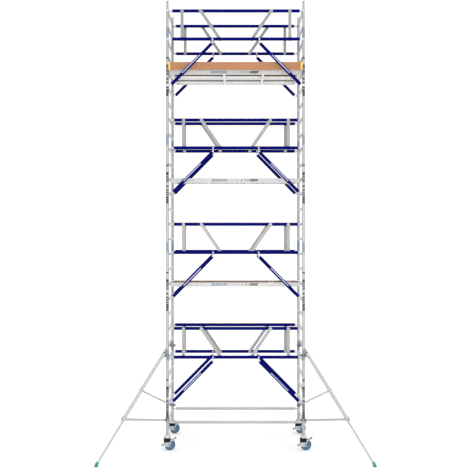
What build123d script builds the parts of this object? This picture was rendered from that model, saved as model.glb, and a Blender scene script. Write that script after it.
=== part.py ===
from build123d import *
from math import atan2, degrees, radians, sin, sqrt
import os

# Mobile aluminium tower scaffold, double width, four end frames high, with three working levels.
# Millimetres. X runs along the platforms, -Y is the front, +Z is up.
# The origin is on the floor under the middle of the tower.

# ---- end frames -------------------------------------------------------------
HALF_LENGTH = 1243.5        # uprights stand at x = +-HALF_LENGTH
HALF_WIDTH = 650.0          # and at y = +-HALF_WIDTH
TUBE_RADIUS = 25.4          # 50.8 mm tube
TUBE_WALL = 2.0
LEVELS = 4
LEVEL_HEIGHT = 1960.0
FRAME_BOTTOM = 245.0        # underside of the lowest frame
RUNG_COUNT = 7
RUNG_PITCH = 280.0
FIRST_RUNG = 240.0          # lowest rung above the underside of its frame
RUNG_RADIUS = 22.0
RUNG_RIBS = 16
RIB_HEIGHT = 1.2
RIB_WIDTH = 2.4
RIB_ROOT = 0.5              # how deep a rib starts inside the rung's core
RUNG_WALL = 2.2
FRAME_SEAM = 1.0            # gap between one upright and the next
WELD_GAP = 0.1              # between tubes that are welded together
SPIGOT_RADIUS = 22.6
SPIGOT_RISE = 125.0
SPIGOT_DEPTH = 100.0
SPIGOT_WALL = 2.5
SPIGOT_TAPER = 6.0
CLIP_RISE = 62.0            # spring clip above the seam between two frames
CLIP_WIDTH = 12.0
CLIP_BAND = 2.0
CLIP_SWEEP = 200.0
CLIP_STUD_RADIUS = 5.0
CLIP_STUD_LENGTH = 7.0

# ---- guardrail frames -------------------------------------------------------
RAIL_RADIUS = 30.0
RAIL_WALL = 2.0
RAIL_LENGTH = 2330.0
LOW_RAIL_DROP = 530.0       # low rail below the top rail
BRACE_RADIUS = 30.0
BRACE_TOP = (441.0, -80.0)      # x, and z from the low rail
BRACE_FOOT = (1175.0, -825.0)
STRUT_WIDTH = 58.0
STRUT_THICKNESS = 12.0
UPRIGHT_STRUT_X = 985.0
SLOPED_STRUT_TOP_X = 650.0
SLOPED_STRUT_LOW_X = 287.0
FRAME_SHIFT = 9.0           # the frames are handed, so each sits a little to one side
BRACKET_X = 428.0
INNER_FRONT_Y = -210.0      # strut plane of the frames beside the single platforms
INNER_REAR_Y = 467.0
OUTER_FRAME_Y = 660.0       # strut plane of the frames round the working platform
OUTER_FRAME_DROP = 15.0     # those frames hang a little below the level of the rungs
CLAW_GAP = 0.4
CLAW_WALL = 9.0
CLAW_WIDTH = 44.0
CAP_LENGTH = 10.0           # flange of a claw against the end of its tube
HOOK_START = -25.0          # degrees round the rung, from level outwards
HOOK_SWEEP = 205.0
MOUTH_DROP = 12.0           # a claw is open below this, under the rung
MOUTH_BACK = 8.0            # and outwards from this, short of the rung's middle
NECK_SHARE = 0.62           # radius of a claw's neck, as a share of its tube
NECK_LEAN = 0.35            # how far a neck aims towards its tube's height
GRIP_START = 180.0          # degrees round the upright, from outwards
GRIP_SWEEP = 195.0
NECK_HALF_HEIGHT = 16.0
NECK_HALF_WIDTH = 12.0
FOOT_CLAW_REACH = 20.0      # claw at a brace's foot, past the end of the brace
FOOT_CLAW_DROP = 12.0
SADDLE_WALL = 4.0
SADDLE_LENGTH = 24.0
SADDLE_SWEEP = 230.0
BRACKET_LUG = 5.0           # half its thickness
BRACKET_PLUG = 12.0

# ---- base braces ------------------------------------------------------------
BASE_BRACE_RADIUS = 25.0
BASE_BRACE_Y = 600.0
BASE_BRACE_LIFT = 12.0      # above the lowest rung
BASE_BRACE_HALF = 1172.0

# ---- platforms --------------------------------------------------------------
DECK_WIDTH = 606.0
DECK_HALF_LENGTH = 1195.0
DECK_RISE = 24.0            # deck top above the rungs that carry it
DECK_PITCH = 610.0          # between two decks side by side
SINGLE_DECK_Y = 130.0
BEAM_HEIGHT = 80.0
BEAM_FLANGE = 32.0
BEAM_SKIN = 3.0
BOARD_THICKNESS = 12.0
BOARD_SINK = 3.0            # board top below the edge of the beam
BOARD_GAP = 0.5             # between the edge of a board and the beam's skin
CROSS_POSITIONS = (-1160.0, -210.0, 510.0, 1160.0)     # with the hatch towards +X
CROSS_WIDTH = 40.0
CROSS_WALL = 2.0
HOOK_WALL = 8.0
DECK_HOOK_START = -30.0
DECK_HOOK_SWEEP = 210.0
SHOE_DROP = 34.0            # shoe of a platform hook, below the rung's middle
SHOE_TOP = 4.0              # and below the platform's top
SHOE_CLEAR = 12.0           # its end short of the rung's middle
DECK_RUNGS = {"low": 9, "mid": 16, "top": 23}   # rung that carries each level
HATCH_LENGTH = 600.0
HATCH_WIDTH = 470.0
HATCH_X = 835.0
HATCH_GAP = 3.0
HATCH_STRIP_INSET = 20.0    # stiffening strips under the lid, in from its edges
HATCH_STRIP_HALF = 12.0
HATCH_STRIP_SHORT = 15.0
HATCH_STRIP_DEPTH = 16.0
HINGE_RADIUS = 6.0
HINGE_PIN_RADIUS = 3.0
HINGE_FIT = 0.05
HINGE_LEAF = 26.0
HINGE_LEAF_THICKNESS = 2.0
HINGE_INSET = 140.0         # middle of each hinge, in from the end of the lid
HINGE_HALF = 45.0
KNUCKLE_HALF = 15.0
KNUCKLE_GAP = 0.5
KNUCKLE_CLEAR = 7.0         # fixed leaf from the pin, beside the moving knuckle

# ---- toe boards -------------------------------------------------------------
TOE_HEIGHT = 145.0
TOE_THICKNESS = 25.0
TOE_HALF_LENGTH = 1192.0
TOE_Y = 627.5
TOE_END_X = 1190.0
TOE_END_HALF = 608.0
TOE_CLIP_WALL = 4.0
TOE_CLIP_HEIGHT = 140.0
TOE_CLIP_START = 92.0
TOE_CLIP_SWEEP = 150.0
TOE_CLIP_ARM = 17.0         # arm from the clip's ring to the end of the board
TOE_CLIP_GAP = 0.1

# ---- stabilisers ------------------------------------------------------------
COUPLER_HEIGHT = 50.0
COUPLER_RADIUS = 34.0
COUPLER_FIT = 0.05
COUPLER_LUG = 14.0                      # half the thickness of its lug
COUPLER_EAR = (-26.0, -6.0)             # ear of the wing nut, in x
COUPLER_EAR_REACH = 26.0
WING_RADIUS = 6.0
WING_LENGTH = 60.0
TOP_COUPLER_Z = 1730.0
LOW_COUPLER_Z = 555.0
STABILISER_REACH = 1126.0 * sqrt(2)     # foot from the upright, on the floor
STABILISER_OFFSET = 112.0               # tube axis from the upright at the top coupler
STAB_TUBE_RADIUS = 25.0
STAB_TUBE_WALL = 2.0
STAB_OVERRUN = 70.0                     # tube above the top coupler
STAB_TUBE_END_R = 1010.0                # lower end of the outer tube, out from the upright
STAB_INNER_RADIUS = 20.0
STAB_INNER_OVERLAP = 620.0              # inner tube inside the outer one when retracted
STAB_STRUT_RADIUS = 19.0
STAB_STRUT_R = 972.0                    # where the strut meets the bracket
STAB_BRACKET_DROP = 62.0
SADDLE_HALF = 30.0                      # half length of the sleeve at the top coupler
SLEEVE_WALL = 6.0
COLLAR_HALF = 28.0
COLLAR_WALL = 5.0
BRACKET_STEM = 12.0
BRACKET_EYE_RADIUS = 20.0
BRACKET_EYE_WIDTH = 26.0
EYE_REACH = 26.0                        # lower end of the strut, out from the coupler
STRUT_SOCKET = 8.0
CUTTER = 90.0                           # long enough to pass right through a bracket
FOOT_RADIUS = 34.0
FOOT_HEIGHT = 62.0
FOOT_PAD_SHARE = 0.42                   # thickness of the pad, as a share of the foot
FOOT_CHAMFER = 4.0
BOOT_LENGTH = 52.0
BOOT_WALL = 8.0
LEG_SHORT = 18.0                        # inner tube stops short of the foot's middle

# ---- legs and castors -------------------------------------------------------
LEG_RADIUS = 19.0
LEG_WALL = 3.5
LEG_TOP = 760.0
NUT_BOTTOM = 224.0
NUT_TOP = 280.0
NUT_BASE_RADIUS = 57.0
NUT_NECK_RADIUS = 38.0
NUT_FLANGE = 14.0
NUT_NOTCHES = 6
NUT_NOTCH_RADIUS = 12.0
NUT_FIT = 0.3
HEAD_RADIUS = 38.0
HEAD_BOTTOM = 209.0
HEAD_TOP = 222.0
HEAD_FLOOR = 6.0            # of solid metal above the head, below the leg's bore
KINGPIN_RADIUS = 10.0
KINGPIN_BOTTOM = 203.5
WHEEL_RADIUS = 100.0
WHEEL_WIDTH = 50.0
TREAD_ROUND = 9.0
WHEEL_TRAIL = 43.0          # axle behind the swivel axis
HUB_RADIUS = 72.0
HUB_RECESS = 4.0            # web of the hub, in from the side of the tyre
HUB_BOSS_WALL = 14.0
HUB_WIDTH = 58.0
AXLE_RADIUS = 10.0
AXLE_FIT = 0.05
FORK_INNER = 31.0           # inside face of each fork plate, from the middle
FORK_PLATE = 6.0
CROWN_BOTTOM = 203.0
CROWN_TOP = 208.5
CROWN_BACK = -60.0
CROWN_FRONT = 58.0
FORK_EYE_RADIUS = 26.0
FORK_SHOULDER = 150.0       # height at which the front edge of a plate leans forward
FORK_BACK_LOW = 86.0        # height at which its back edge turns in
FORK_BOTTOM = 66.0
FORK_CUT = 18.0
FORK_LOW_FRONT = (10.0, 30.0)       # lower front corners, forward of the axle
AXLE_OVERHANG = 12.0
PEDAL_LOW = (-100.0, 80.0)      # x and z of the two pedal ends
PEDAL_HIGH = (147.0, 216.0)
PEDAL_ARM_INNER = 38.0
PEDAL_ARM = 5.0
PEDAL_ARM_HEIGHT = 22.0
PEDAL_TREAD_RADIUS = 9.0
PEDAL_TREAD_OVERHANG = 3.0
PEDAL_PIVOT_RADIUS = 6.0
PEDAL_PIVOT_OVERHANG = 2.0

os.makedirs("parts", exist_ok=True)


def save(name, solids):
    """Writes one node, keeping every piece of it a separate solid."""
    pieces = []
    for piece in solids:
        pieces.extend(piece.solids())
    export_step(Compound(children=pieces), f"parts/{name}.step")


def tube(start, end, radius, wall=0.0):
    """A round tube, or a bar where wall is 0, from one point to another."""
    run = Vector(*end) - Vector(*start)
    body = Cylinder(radius, run.length, align=(Align.CENTER, Align.CENTER, Align.MIN))
    if wall:
        body -= Cylinder(radius - wall, run.length, align=(Align.CENTER, Align.CENTER, Align.MIN))
    return Plane(origin=start, z_dir=run) * body


def block(low, high):
    """A box between two opposite corners."""
    size = [b - a for a, b in zip(low, high)]
    middle = [(a + b) / 2 for a, b in zip(low, high)]
    return Pos(*middle) * Box(*size)


def flat_bar(start, end, width, thickness):
    """A flat bar with rounded ends in an XZ plane."""
    run = Vector(*end) - Vector(*start)
    outline = SlotCenterToCenter(run.length, width)
    bar = extrude(outline, thickness / 2, both=True)
    angle = degrees(atan2(run.Z, run.X))
    middle = (Vector(*start) + Vector(*end)) * 0.5
    return Pos(middle) * Rot(0, -angle, 0) * Rot(90, 0, 0) * bar


def ring_sector(radius, wall, height, start_angle, sweep):
    """Part of a ring about Z, centred on Z = 0."""
    outline = Circle(radius + wall) - Circle(radius)
    reach = 3 * (radius + wall)
    points = [(0, 0)]
    steps = 6
    for step in range(steps + 1):
        angle = start_angle + sweep * step / steps
        direction = Vector(reach, 0, 0).rotate(Axis.Z, angle)
        points.append((direction.X, direction.Y))
    wedge = make_face(Polyline(*points, close=True))
    return extrude(outline & wedge, height / 2, both=True)


# ---- end frames -------------------------------------------------------------

def rung():
    """One ribbed rung along Y, coped to fit the two uprights."""
    core = RUNG_RADIUS - RIB_HEIGHT
    outline = Circle(core)
    for index in range(RUNG_RIBS):
        rib = Pos(core + RIB_HEIGHT / 2 - RIB_ROOT, 0) * Rectangle(RIB_HEIGHT + 2 * RIB_ROOT, RIB_WIDTH)
        outline += Rot(0, 0, 360 * index / RUNG_RIBS) * rib
    outline -= Circle(core - RUNG_WALL)
    body = extrude(Plane.XZ * outline, HALF_WIDTH, both=True)
    for side in (-1, 1):
        upright = Pos(0, side * HALF_WIDTH, 0) * Cylinder(TUBE_RADIUS + WELD_GAP, 4 * RUNG_RADIUS)
        body -= upright
    return max(body.solids(), key=lambda piece: piece.volume)


def spigot():
    """The reduced tube end that carries the next frame. Z = 0 is the top of the upright."""
    insert = Pos(0, 0, -SPIGOT_DEPTH / 2) * Cylinder(TUBE_RADIUS - TUBE_WALL - WELD_GAP, SPIGOT_DEPTH)
    nose = Cylinder(SPIGOT_RADIUS, SPIGOT_RISE, align=(Align.CENTER, Align.CENTER, Align.MIN))
    nose = chamfer(nose.edges().group_by(Axis.Z)[-1], SPIGOT_TAPER, SPIGOT_TAPER / 3)
    bore = Pos(0, 0, (SPIGOT_RISE - SPIGOT_DEPTH) / 2)
    bore *= Cylinder(SPIGOT_RADIUS - SPIGOT_WALL, SPIGOT_RISE + SPIGOT_DEPTH)
    return insert + nose - bore


def end_frame(template_rung, template_spigot):
    """One end frame with its underside at Z = 0."""
    pieces = []
    for side in (-1, 1):
        y = side * HALF_WIDTH
        pieces.append(tube((0, y, 0), (0, y, LEVEL_HEIGHT - FRAME_SEAM), TUBE_RADIUS, TUBE_WALL))
        pieces.append(Pos(0, y, LEVEL_HEIGHT - FRAME_SEAM) * template_spigot)
    for index in range(RUNG_COUNT):
        pieces.append(Pos(0, 0, FIRST_RUNG + RUNG_PITCH * index) * template_rung)
    return pieces


def frame_clips():
    """Spring clips that lock each frame to the spigot below it."""
    pieces = []
    for level in range(1, LEVELS):
        z = FRAME_BOTTOM + level * LEVEL_HEIGHT + CLIP_RISE
        for x_side in (-1, 1):
            for y_side in (-1, 1):
                facing = 90 - 90 * x_side
                band = ring_sector(TUBE_RADIUS + WELD_GAP, CLIP_BAND, CLIP_WIDTH, -CLIP_SWEEP / 2, CLIP_SWEEP)
                stud_x = TUBE_RADIUS + CLIP_BAND / 2 + CLIP_STUD_LENGTH / 2
                stud = Pos(stud_x, 0, 0) * Rot(0, 90, 0) * Cylinder(CLIP_STUD_RADIUS, CLIP_STUD_LENGTH)
                clip = Rot(0, 0, facing) * (band + stud)
                pieces.append(Pos(x_side * HALF_LENGTH, y_side * HALF_WIDTH, z) * clip)
    return pieces


# ---- guardrail frames -------------------------------------------------------

def rung_height(number):
    """Height of a rung, counted from 0 at the floor."""
    level, place = divmod(number, RUNG_COUNT)
    return FRAME_BOTTOM + level * LEVEL_HEIGHT + FIRST_RUNG + place * RUNG_PITCH


def rung_claw(side, y, tube_end, heading, rung_z, tube_radius):
    """A claw over a rung from a tube's end, whose x and z are given for the right-hand side."""
    hook = Rot(90, 0, 0) * ring_sector(RUNG_RADIUS + CLAW_GAP, CLAW_WALL, CLAW_WIDTH, HOOK_START, HOOK_SWEEP)
    hook = Pos(HALF_LENGTH, 0, rung_z) * hook
    end = Vector(tube_end[0], 0, tube_end[1]) + heading * WELD_GAP
    cap = tube(tuple(end), tuple(end + heading * CAP_LENGTH), tube_radius)
    neck_start = end + heading * (CAP_LENGTH / 2)
    neck_end = Vector(HALF_LENGTH, 0, rung_z + NECK_LEAN * (end.Z - rung_z))
    neck = tube(tuple(neck_start), tuple(neck_end), tube_radius * NECK_SHARE)
    claw = hook + neck + cap
    claw -= Pos(HALF_LENGTH, 0, rung_z) * Rot(90, 0, 0) * Cylinder(RUNG_RADIUS + CLAW_GAP, 4 * CLAW_WIDTH)
    below = block((HALF_LENGTH - MOUTH_BACK, -CLAW_WIDTH, rung_z - 4 * RUNG_RADIUS),
                  (HALF_LENGTH + 4 * RUNG_RADIUS, CLAW_WIDTH, rung_z - MOUTH_DROP))
    claw = max((claw - below).solids(), key=lambda piece: piece.volume)
    if side < 0:
        claw = mirror(claw, Plane.YZ)
    return Pos(0, y, 0) * claw


def upright_claw(side, front, y, tube_end, tube_radius):
    """A claw from a tube's end round the outer side of the upright beyond it."""
    end_x, end_z = tube_end
    grip = ring_sector(TUBE_RADIUS + CLAW_GAP, CLAW_WALL, CLAW_WIDTH, GRIP_START, GRIP_SWEEP)
    grip = Pos(HALF_LENGTH, -HALF_WIDTH, end_z) * grip
    inside = abs(y) < HALF_WIDTH
    reach_x = HALF_LENGTH - TUBE_RADIUS if inside else HALF_LENGTH
    low_y = -HALF_WIDTH if inside else -abs(y) - NECK_HALF_WIDTH
    high_y = -abs(y) + NECK_HALF_WIDTH if inside else -HALF_WIDTH - TUBE_RADIUS
    neck = block((end_x + CAP_LENGTH / 2, low_y, end_z - NECK_HALF_HEIGHT),
                 (reach_x, high_y, end_z + NECK_HALF_HEIGHT))
    cap = tube((end_x + WELD_GAP, -abs(y), end_z), (end_x + CAP_LENGTH, -abs(y), end_z), tube_radius)
    claw = grip + neck + cap
    claw -= Pos(HALF_LENGTH, -HALF_WIDTH, end_z) * Cylinder(TUBE_RADIUS + CLAW_GAP, 4 * CLAW_WIDTH)
    claw = max(claw.solids(), key=lambda piece: piece.volume)
    if side < 0:
        claw = mirror(claw, Plane.YZ)
    if not front:
        claw = mirror(claw, Plane.XZ)
    return claw


def brace_bracket(side, rail_y, rail_z, shift):
    """Saddle under the low rail that holds the top end of a brace."""
    x = side * BRACKET_X + shift
    saddle = ring_sector(RAIL_RADIUS + WELD_GAP, SADDLE_WALL, SADDLE_LENGTH, -SADDLE_SWEEP / 2, SADDLE_SWEEP)
    saddle = Pos(x, rail_y, rail_z) * Rot(0, 90, 0) * saddle
    top_x = side * BRACE_TOP[0] + shift
    top_z = rail_z + BRACE_TOP[1]
    half = SADDLE_LENGTH / 2
    lug_low = (x - half, rail_y - BRACKET_LUG, top_z)
    lug = block(lug_low, (x + half, rail_y + BRACKET_LUG, rail_z - RAIL_RADIUS - SADDLE_WALL / 2))
    slope = Vector(side * (BRACE_TOP[0] - BRACE_FOOT[0]), 0, BRACE_TOP[1] - BRACE_FOOT[1]).normalized()
    start = Vector(top_x, rail_y, top_z) + slope * WELD_GAP
    plug = tube(tuple(start), tuple(start + slope * BRACKET_PLUG), BRACE_RADIUS - RAIL_WALL)
    lug -= tube(tuple(start - slope * CUTTER), tuple(start), BRACE_RADIUS + WELD_GAP)
    return saddle + lug + plug


def guardrail_layout():
    """Name, level, strut plane, outward direction and end shift of every guardrail frame."""
    layout = []
    for level in range(LEVELS):
        top_level = level == LEVELS - 1
        front_y = -OUTER_FRAME_Y if top_level else INNER_FRONT_Y
        rear_y = OUTER_FRAME_Y if top_level else INNER_REAR_Y
        layout.append((f"guardrail_front_{level + 1}", level, front_y, -1, FRAME_SHIFT))
        layout.append((f"guardrail_rear_{level + 1}", level, rear_y, 1, -FRAME_SHIFT))
    return layout


def guardrail_frame(level, plane_y, outward, shift):
    """Rails and braces, struts, and claws of one guardrail frame."""
    top_rung = RUNG_COUNT * (level + 1) - 1
    top_z = rung_height(top_rung)
    if abs(plane_y) == OUTER_FRAME_Y:
        top_z -= OUTER_FRAME_DROP
    low_z = top_z - LOW_RAIL_DROP
    offset = RAIL_RADIUS + STRUT_THICKNESS / 2 + WELD_GAP
    top_y = plane_y - outward * offset
    low_y = plane_y + outward * offset
    half = RAIL_LENGTH / 2
    rails = []
    for y, z in ((top_y, top_z), (low_y, low_z)):
        rails.append(tube((shift - half, y, z), (shift + half, y, z), RAIL_RADIUS, RAIL_WALL))
    struts = []
    claws = []
    for side in (-1, 1):
        top = (side * BRACE_TOP[0] + shift, low_y, low_z + BRACE_TOP[1])
        foot = (side * BRACE_FOOT[0] + shift, low_y, low_z + BRACE_FOOT[1])
        rails.append(tube(top, foot, BRACE_RADIUS, RAIL_WALL))
        x = side * UPRIGHT_STRUT_X + shift
        struts.append(flat_bar((x, plane_y, low_z), (x, plane_y, top_z), STRUT_WIDTH, STRUT_THICKNESS))
        sloped_top = (side * SLOPED_STRUT_TOP_X + shift, plane_y, top_z)
        sloped_low = (side * SLOPED_STRUT_LOW_X + shift, plane_y, low_z)
        struts.append(flat_bar(sloped_low, sloped_top, STRUT_WIDTH, STRUT_THICKNESS))
        rail_end = half + side * shift
        foot_end = BRACE_FOOT[0] + side * shift
        foot_z = low_z + BRACE_FOOT[1]
        claws.append(brace_bracket(side, low_y, low_z, shift))
        if abs(plane_y) == OUTER_FRAME_Y:
            front = outward < 0
            claws.append(upright_claw(side, front, top_y, (rail_end, top_z), RAIL_RADIUS))
            claws.append(upright_claw(side, front, low_y, (rail_end, low_z), RAIL_RADIUS))
            foot_claw_end = (foot_end + FOOT_CLAW_REACH, foot_z - FOOT_CLAW_DROP)
            claws.append(upright_claw(side, front, low_y, foot_claw_end, BRACE_RADIUS * NECK_SHARE))
        else:
            level_out = Vector(1, 0, 0)
            brace_out = Vector(BRACE_FOOT[0] - BRACE_TOP[0], 0, BRACE_FOOT[1] - BRACE_TOP[1]).normalized()
            low_rung = rung_height(top_rung - 2)
            foot_rung = rung_height(top_rung - 5)
            claws.append(rung_claw(side, top_y, (rail_end, top_z), level_out, top_z, RAIL_RADIUS))
            claws.append(rung_claw(side, low_y, (rail_end, low_z), level_out, low_rung, RAIL_RADIUS))
            claws.append(rung_claw(side, low_y, (foot_end, foot_z), brace_out, foot_rung, BRACE_RADIUS))
    return rails, struts, claws


# ---- platforms --------------------------------------------------------------

def beam_outline():
    """Section of a platform's side beam: Y is inwards from its outer face, Z down from its top."""
    web = block((0, 0, -BEAM_HEIGHT), (1, BEAM_SKIN, 0))
    ledge_top = -BOARD_SINK - BOARD_THICKNESS
    ledge = block((0, 0, ledge_top - BEAM_SKIN), (1, BEAM_FLANGE, ledge_top))
    foot = block((0, 0, -BEAM_HEIGHT), (1, BEAM_FLANGE, -BEAM_HEIGHT + BEAM_SKIN))
    section = web + ledge + foot
    return section.faces().sort_by(Axis.X)[0]


def deck_hook(top_z):
    """Hook at the right-hand end of a side beam, over the rung."""
    rung_z = top_z - DECK_RISE
    hook = ring_sector(RUNG_RADIUS + CLAW_GAP, HOOK_WALL, BEAM_FLANGE, DECK_HOOK_START, DECK_HOOK_SWEEP)
    hook = Pos(HALF_LENGTH, 0, rung_z) * Rot(90, 0, 0) * hook
    shoe = block((DECK_HALF_LENGTH + WELD_GAP, -BEAM_FLANGE / 2, rung_z - SHOE_DROP),
                 (HALF_LENGTH - SHOE_CLEAR, BEAM_FLANGE / 2, top_z - SHOE_TOP))
    shoe -= Pos(HALF_LENGTH, 0, rung_z) * Rot(90, 0, 0) * Cylinder(RUNG_RADIUS + CLAW_GAP, 4 * BEAM_FLANGE)
    joined = hook + shoe
    return max(joined.solids(), key=lambda piece: piece.volume)


def hatch_span(hatch_side):
    """Lowest and highest x of the hatch."""
    middle = hatch_side * HATCH_X
    return middle - HATCH_LENGTH / 2, middle + HATCH_LENGTH / 2


def hinge_line(middle_y):
    """Y of the hatch's hinge pin."""
    return middle_y - HATCH_WIDTH / 2 - HATCH_GAP


def hinge_spans(hatch_side):
    """X ranges of each hatch hinge: its pair of fixed knuckles, and the moving one between them."""
    low, high = hatch_span(hatch_side)
    fixed = []
    moving = []
    gap = KNUCKLE_HALF + KNUCKLE_GAP
    for centre in (low + HINGE_INSET, high - HINGE_INSET):
        fixed.append(((centre - HINGE_HALF, centre - gap), (centre + gap, centre + HINGE_HALF)))
        moving.append((centre - KNUCKLE_HALF, centre + KNUCKLE_HALF))
    return fixed, moving


def deck_frame(middle_y, top_z, hatch_side):
    """Side beams, cross members, hooks and hatch hinges of one platform."""
    pieces = []
    profile = beam_outline()
    half = DECK_WIDTH / 2
    length = 2 * DECK_HALF_LENGTH
    beam = Pos(-DECK_HALF_LENGTH, -half, 0) * extrude(profile, length, dir=(1, 0, 0))
    for piece in (beam, mirror(beam, Plane.XZ)):
        pieces.append(Pos(0, middle_y, top_z) * piece)
    cross_low = top_z - BEAM_HEIGHT + BEAM_SKIN + WELD_GAP
    cross_high = top_z - BOARD_SINK - BOARD_THICKNESS - BEAM_SKIN - WELD_GAP
    reach = half - BEAM_SKIN - WELD_GAP
    for position in CROSS_POSITIONS:
        x = -position if hatch_side < 0 else position
        low = (x - CROSS_WIDTH / 2, middle_y - reach, cross_low)
        high = (x + CROSS_WIDTH / 2, middle_y + reach, cross_high)
        hollow_low = (low[0] + CROSS_WALL, low[1] - 1, low[2] + CROSS_WALL)
        hollow_high = (high[0] - CROSS_WALL, high[1] + 1, high[2] - CROSS_WALL)
        pieces.append(block(low, high) - block(hollow_low, hollow_high))
    hook = deck_hook(top_z)
    for y_side in (-1, 1):
        y = middle_y + y_side * (half - BEAM_FLANGE / 2)
        pieces.append(Pos(0, y, 0) * hook)
        pieces.append(Pos(0, y, 0) * mirror(hook, Plane.YZ))
    if hatch_side:
        pieces.extend(fixed_hinges(middle_y, top_z, hatch_side))
    return pieces


def fixed_hinges(middle_y, top_z, hatch_side):
    """Hinge leaves on the board, with the pins that the hatch turns on."""
    board_top = top_z - BOARD_SINK
    y = hinge_line(middle_y)
    z = board_top + HINGE_RADIUS
    leaf_low = board_top + WELD_GAP
    leaf_high = board_top + HINGE_LEAF_THICKNESS
    hinges = []
    for pair in hinge_spans(hatch_side)[0]:
        low = pair[0][0]
        high = pair[1][1]
        hinge = tube((low, y, z), (high, y, z), HINGE_PIN_RADIUS)
        hinge += block((low, y - HINGE_LEAF, leaf_low), (high, y - KNUCKLE_CLEAR, leaf_high))
        for start, end in pair:
            hinge += tube((start, y, z), (end, y, z), HINGE_RADIUS - WELD_GAP)
            hinge += block((start, y - KNUCKLE_CLEAR - 1, leaf_low), (end, y, leaf_high))
        hinges.append(hinge)
    return hinges


def deck_boards(middle_y, top_z, hatch_side):
    """Plywood of one platform, in strips round the hatch where there is one."""
    half = DECK_WIDTH / 2 - BEAM_SKIN - BOARD_GAP
    low_z = top_z - BOARD_SINK - BOARD_THICKNESS + WELD_GAP
    high_z = top_z - BOARD_SINK
    low_x = -DECK_HALF_LENGTH
    high_x = DECK_HALF_LENGTH
    if not hatch_side:
        return [block((low_x, middle_y - half, low_z), (high_x, middle_y + half, high_z))]
    start, end = hatch_span(hatch_side)
    start -= HATCH_GAP
    end += HATCH_GAP
    cut = HATCH_WIDTH / 2 + HATCH_GAP
    return [
        block((low_x, middle_y - half, low_z), (start, middle_y + half, high_z)),
        block((end, middle_y - half, low_z), (high_x, middle_y + half, high_z)),
        block((start + WELD_GAP, middle_y - half, low_z), (end - WELD_GAP, middle_y - cut, high_z)),
        block((start + WELD_GAP, middle_y + cut, low_z), (end - WELD_GAP, middle_y + half, high_z)),
    ]


def hatch(middle_y, top_z, hatch_side):
    """The hinged lid: a board with edge strips under it and its half of each hinge."""
    start, end = hatch_span(hatch_side)
    board_top = top_z - BOARD_SINK
    half = HATCH_WIDTH / 2
    low_z = board_top - BOARD_THICKNESS
    y = hinge_line(middle_y)
    z = board_top + HINGE_RADIUS
    lid = block((start, middle_y - half, low_z), (end, middle_y + half, board_top))
    strip_low = low_z - HATCH_STRIP_DEPTH
    for edge in (middle_y - half + HATCH_STRIP_INSET, middle_y + half - HATCH_STRIP_INSET):
        lid += block((start + HATCH_STRIP_SHORT, edge - HATCH_STRIP_HALF, strip_low),
                     (end - HATCH_STRIP_SHORT, edge + HATCH_STRIP_HALF, low_z))
    for low, high in hinge_spans(hatch_side)[1]:
        lid += block((low, y, board_top), (high, y + HINGE_LEAF, board_top + HINGE_LEAF_THICKNESS))
        lid += tube((low, y, z), (high, y, z), HINGE_RADIUS - WELD_GAP)
        lid -= tube((low - 1, y, z), (high + 1, y, z), HINGE_PIN_RADIUS + HINGE_FIT)
    return lid


# ---- toe boards -------------------------------------------------------------

def toe_boards(top_z):
    """Long boards beside the working platform and short ones across its ends."""
    pieces = []
    for side in (-1, 1):
        low_y = side * TOE_Y - TOE_THICKNESS / 2
        board = block((-TOE_HALF_LENGTH, low_y, top_z),
                      (TOE_HALF_LENGTH, low_y + TOE_THICKNESS, top_z + TOE_HEIGHT))
        pieces.append(board)
        low_x = side * TOE_END_X - TOE_THICKNESS / 2
        end = block((low_x, -TOE_END_HALF, top_z), (low_x + TOE_THICKNESS, TOE_END_HALF, top_z + TOE_HEIGHT))
        pieces.append(end)
    return pieces


def toe_board_clips(top_z):
    """Clips at the ends of the long toe boards, which spring on to the uprights."""
    pieces = []
    middle = top_z + TOE_HEIGHT / 2
    for x_side in (-1, 1):
        for y_side in (-1, 1):
            ring = ring_sector(TUBE_RADIUS + CLAW_GAP, TOE_CLIP_WALL, TOE_CLIP_HEIGHT,
                               TOE_CLIP_START, TOE_CLIP_SWEEP)
            board_end = TOE_HALF_LENGTH - HALF_LENGTH + TOE_CLIP_GAP
            half = TOE_CLIP_HEIGHT / 2
            arm = block((board_end, 0, -half), (-TUBE_RADIUS - TOE_CLIP_WALL / 2, TOE_CLIP_ARM, half))
            arm -= Cylinder(TUBE_RADIUS + CLAW_GAP, 2 * TOE_CLIP_HEIGHT)
            clip = ring + arm
            if x_side < 0:
                clip = mirror(clip, Plane.YZ)
            if y_side > 0:
                clip = mirror(clip, Plane.XZ)
            pieces.append(Pos(x_side * HALF_LENGTH, y_side * HALF_WIDTH, middle) * clip)
    return pieces


# ---- stabilisers, drawn along +X from an upright at the origin -----------------

STAB_SLOPE = atan2(TOP_COUPLER_Z - FOOT_HEIGHT / 2, STABILISER_REACH - STABILISER_OFFSET)


def stabiliser_point(reach):
    """Point on the stabiliser tube's axis at a given distance out from the upright."""
    drop = (reach - STABILISER_OFFSET) * sin(STAB_SLOPE) / sin(radians(90) - STAB_SLOPE)
    return Vector(reach, 0, TOP_COUPLER_Z - drop)


STAB_DOWN = (stabiliser_point(STABILISER_REACH) - stabiliser_point(STABILISER_OFFSET)).normalized()


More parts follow.
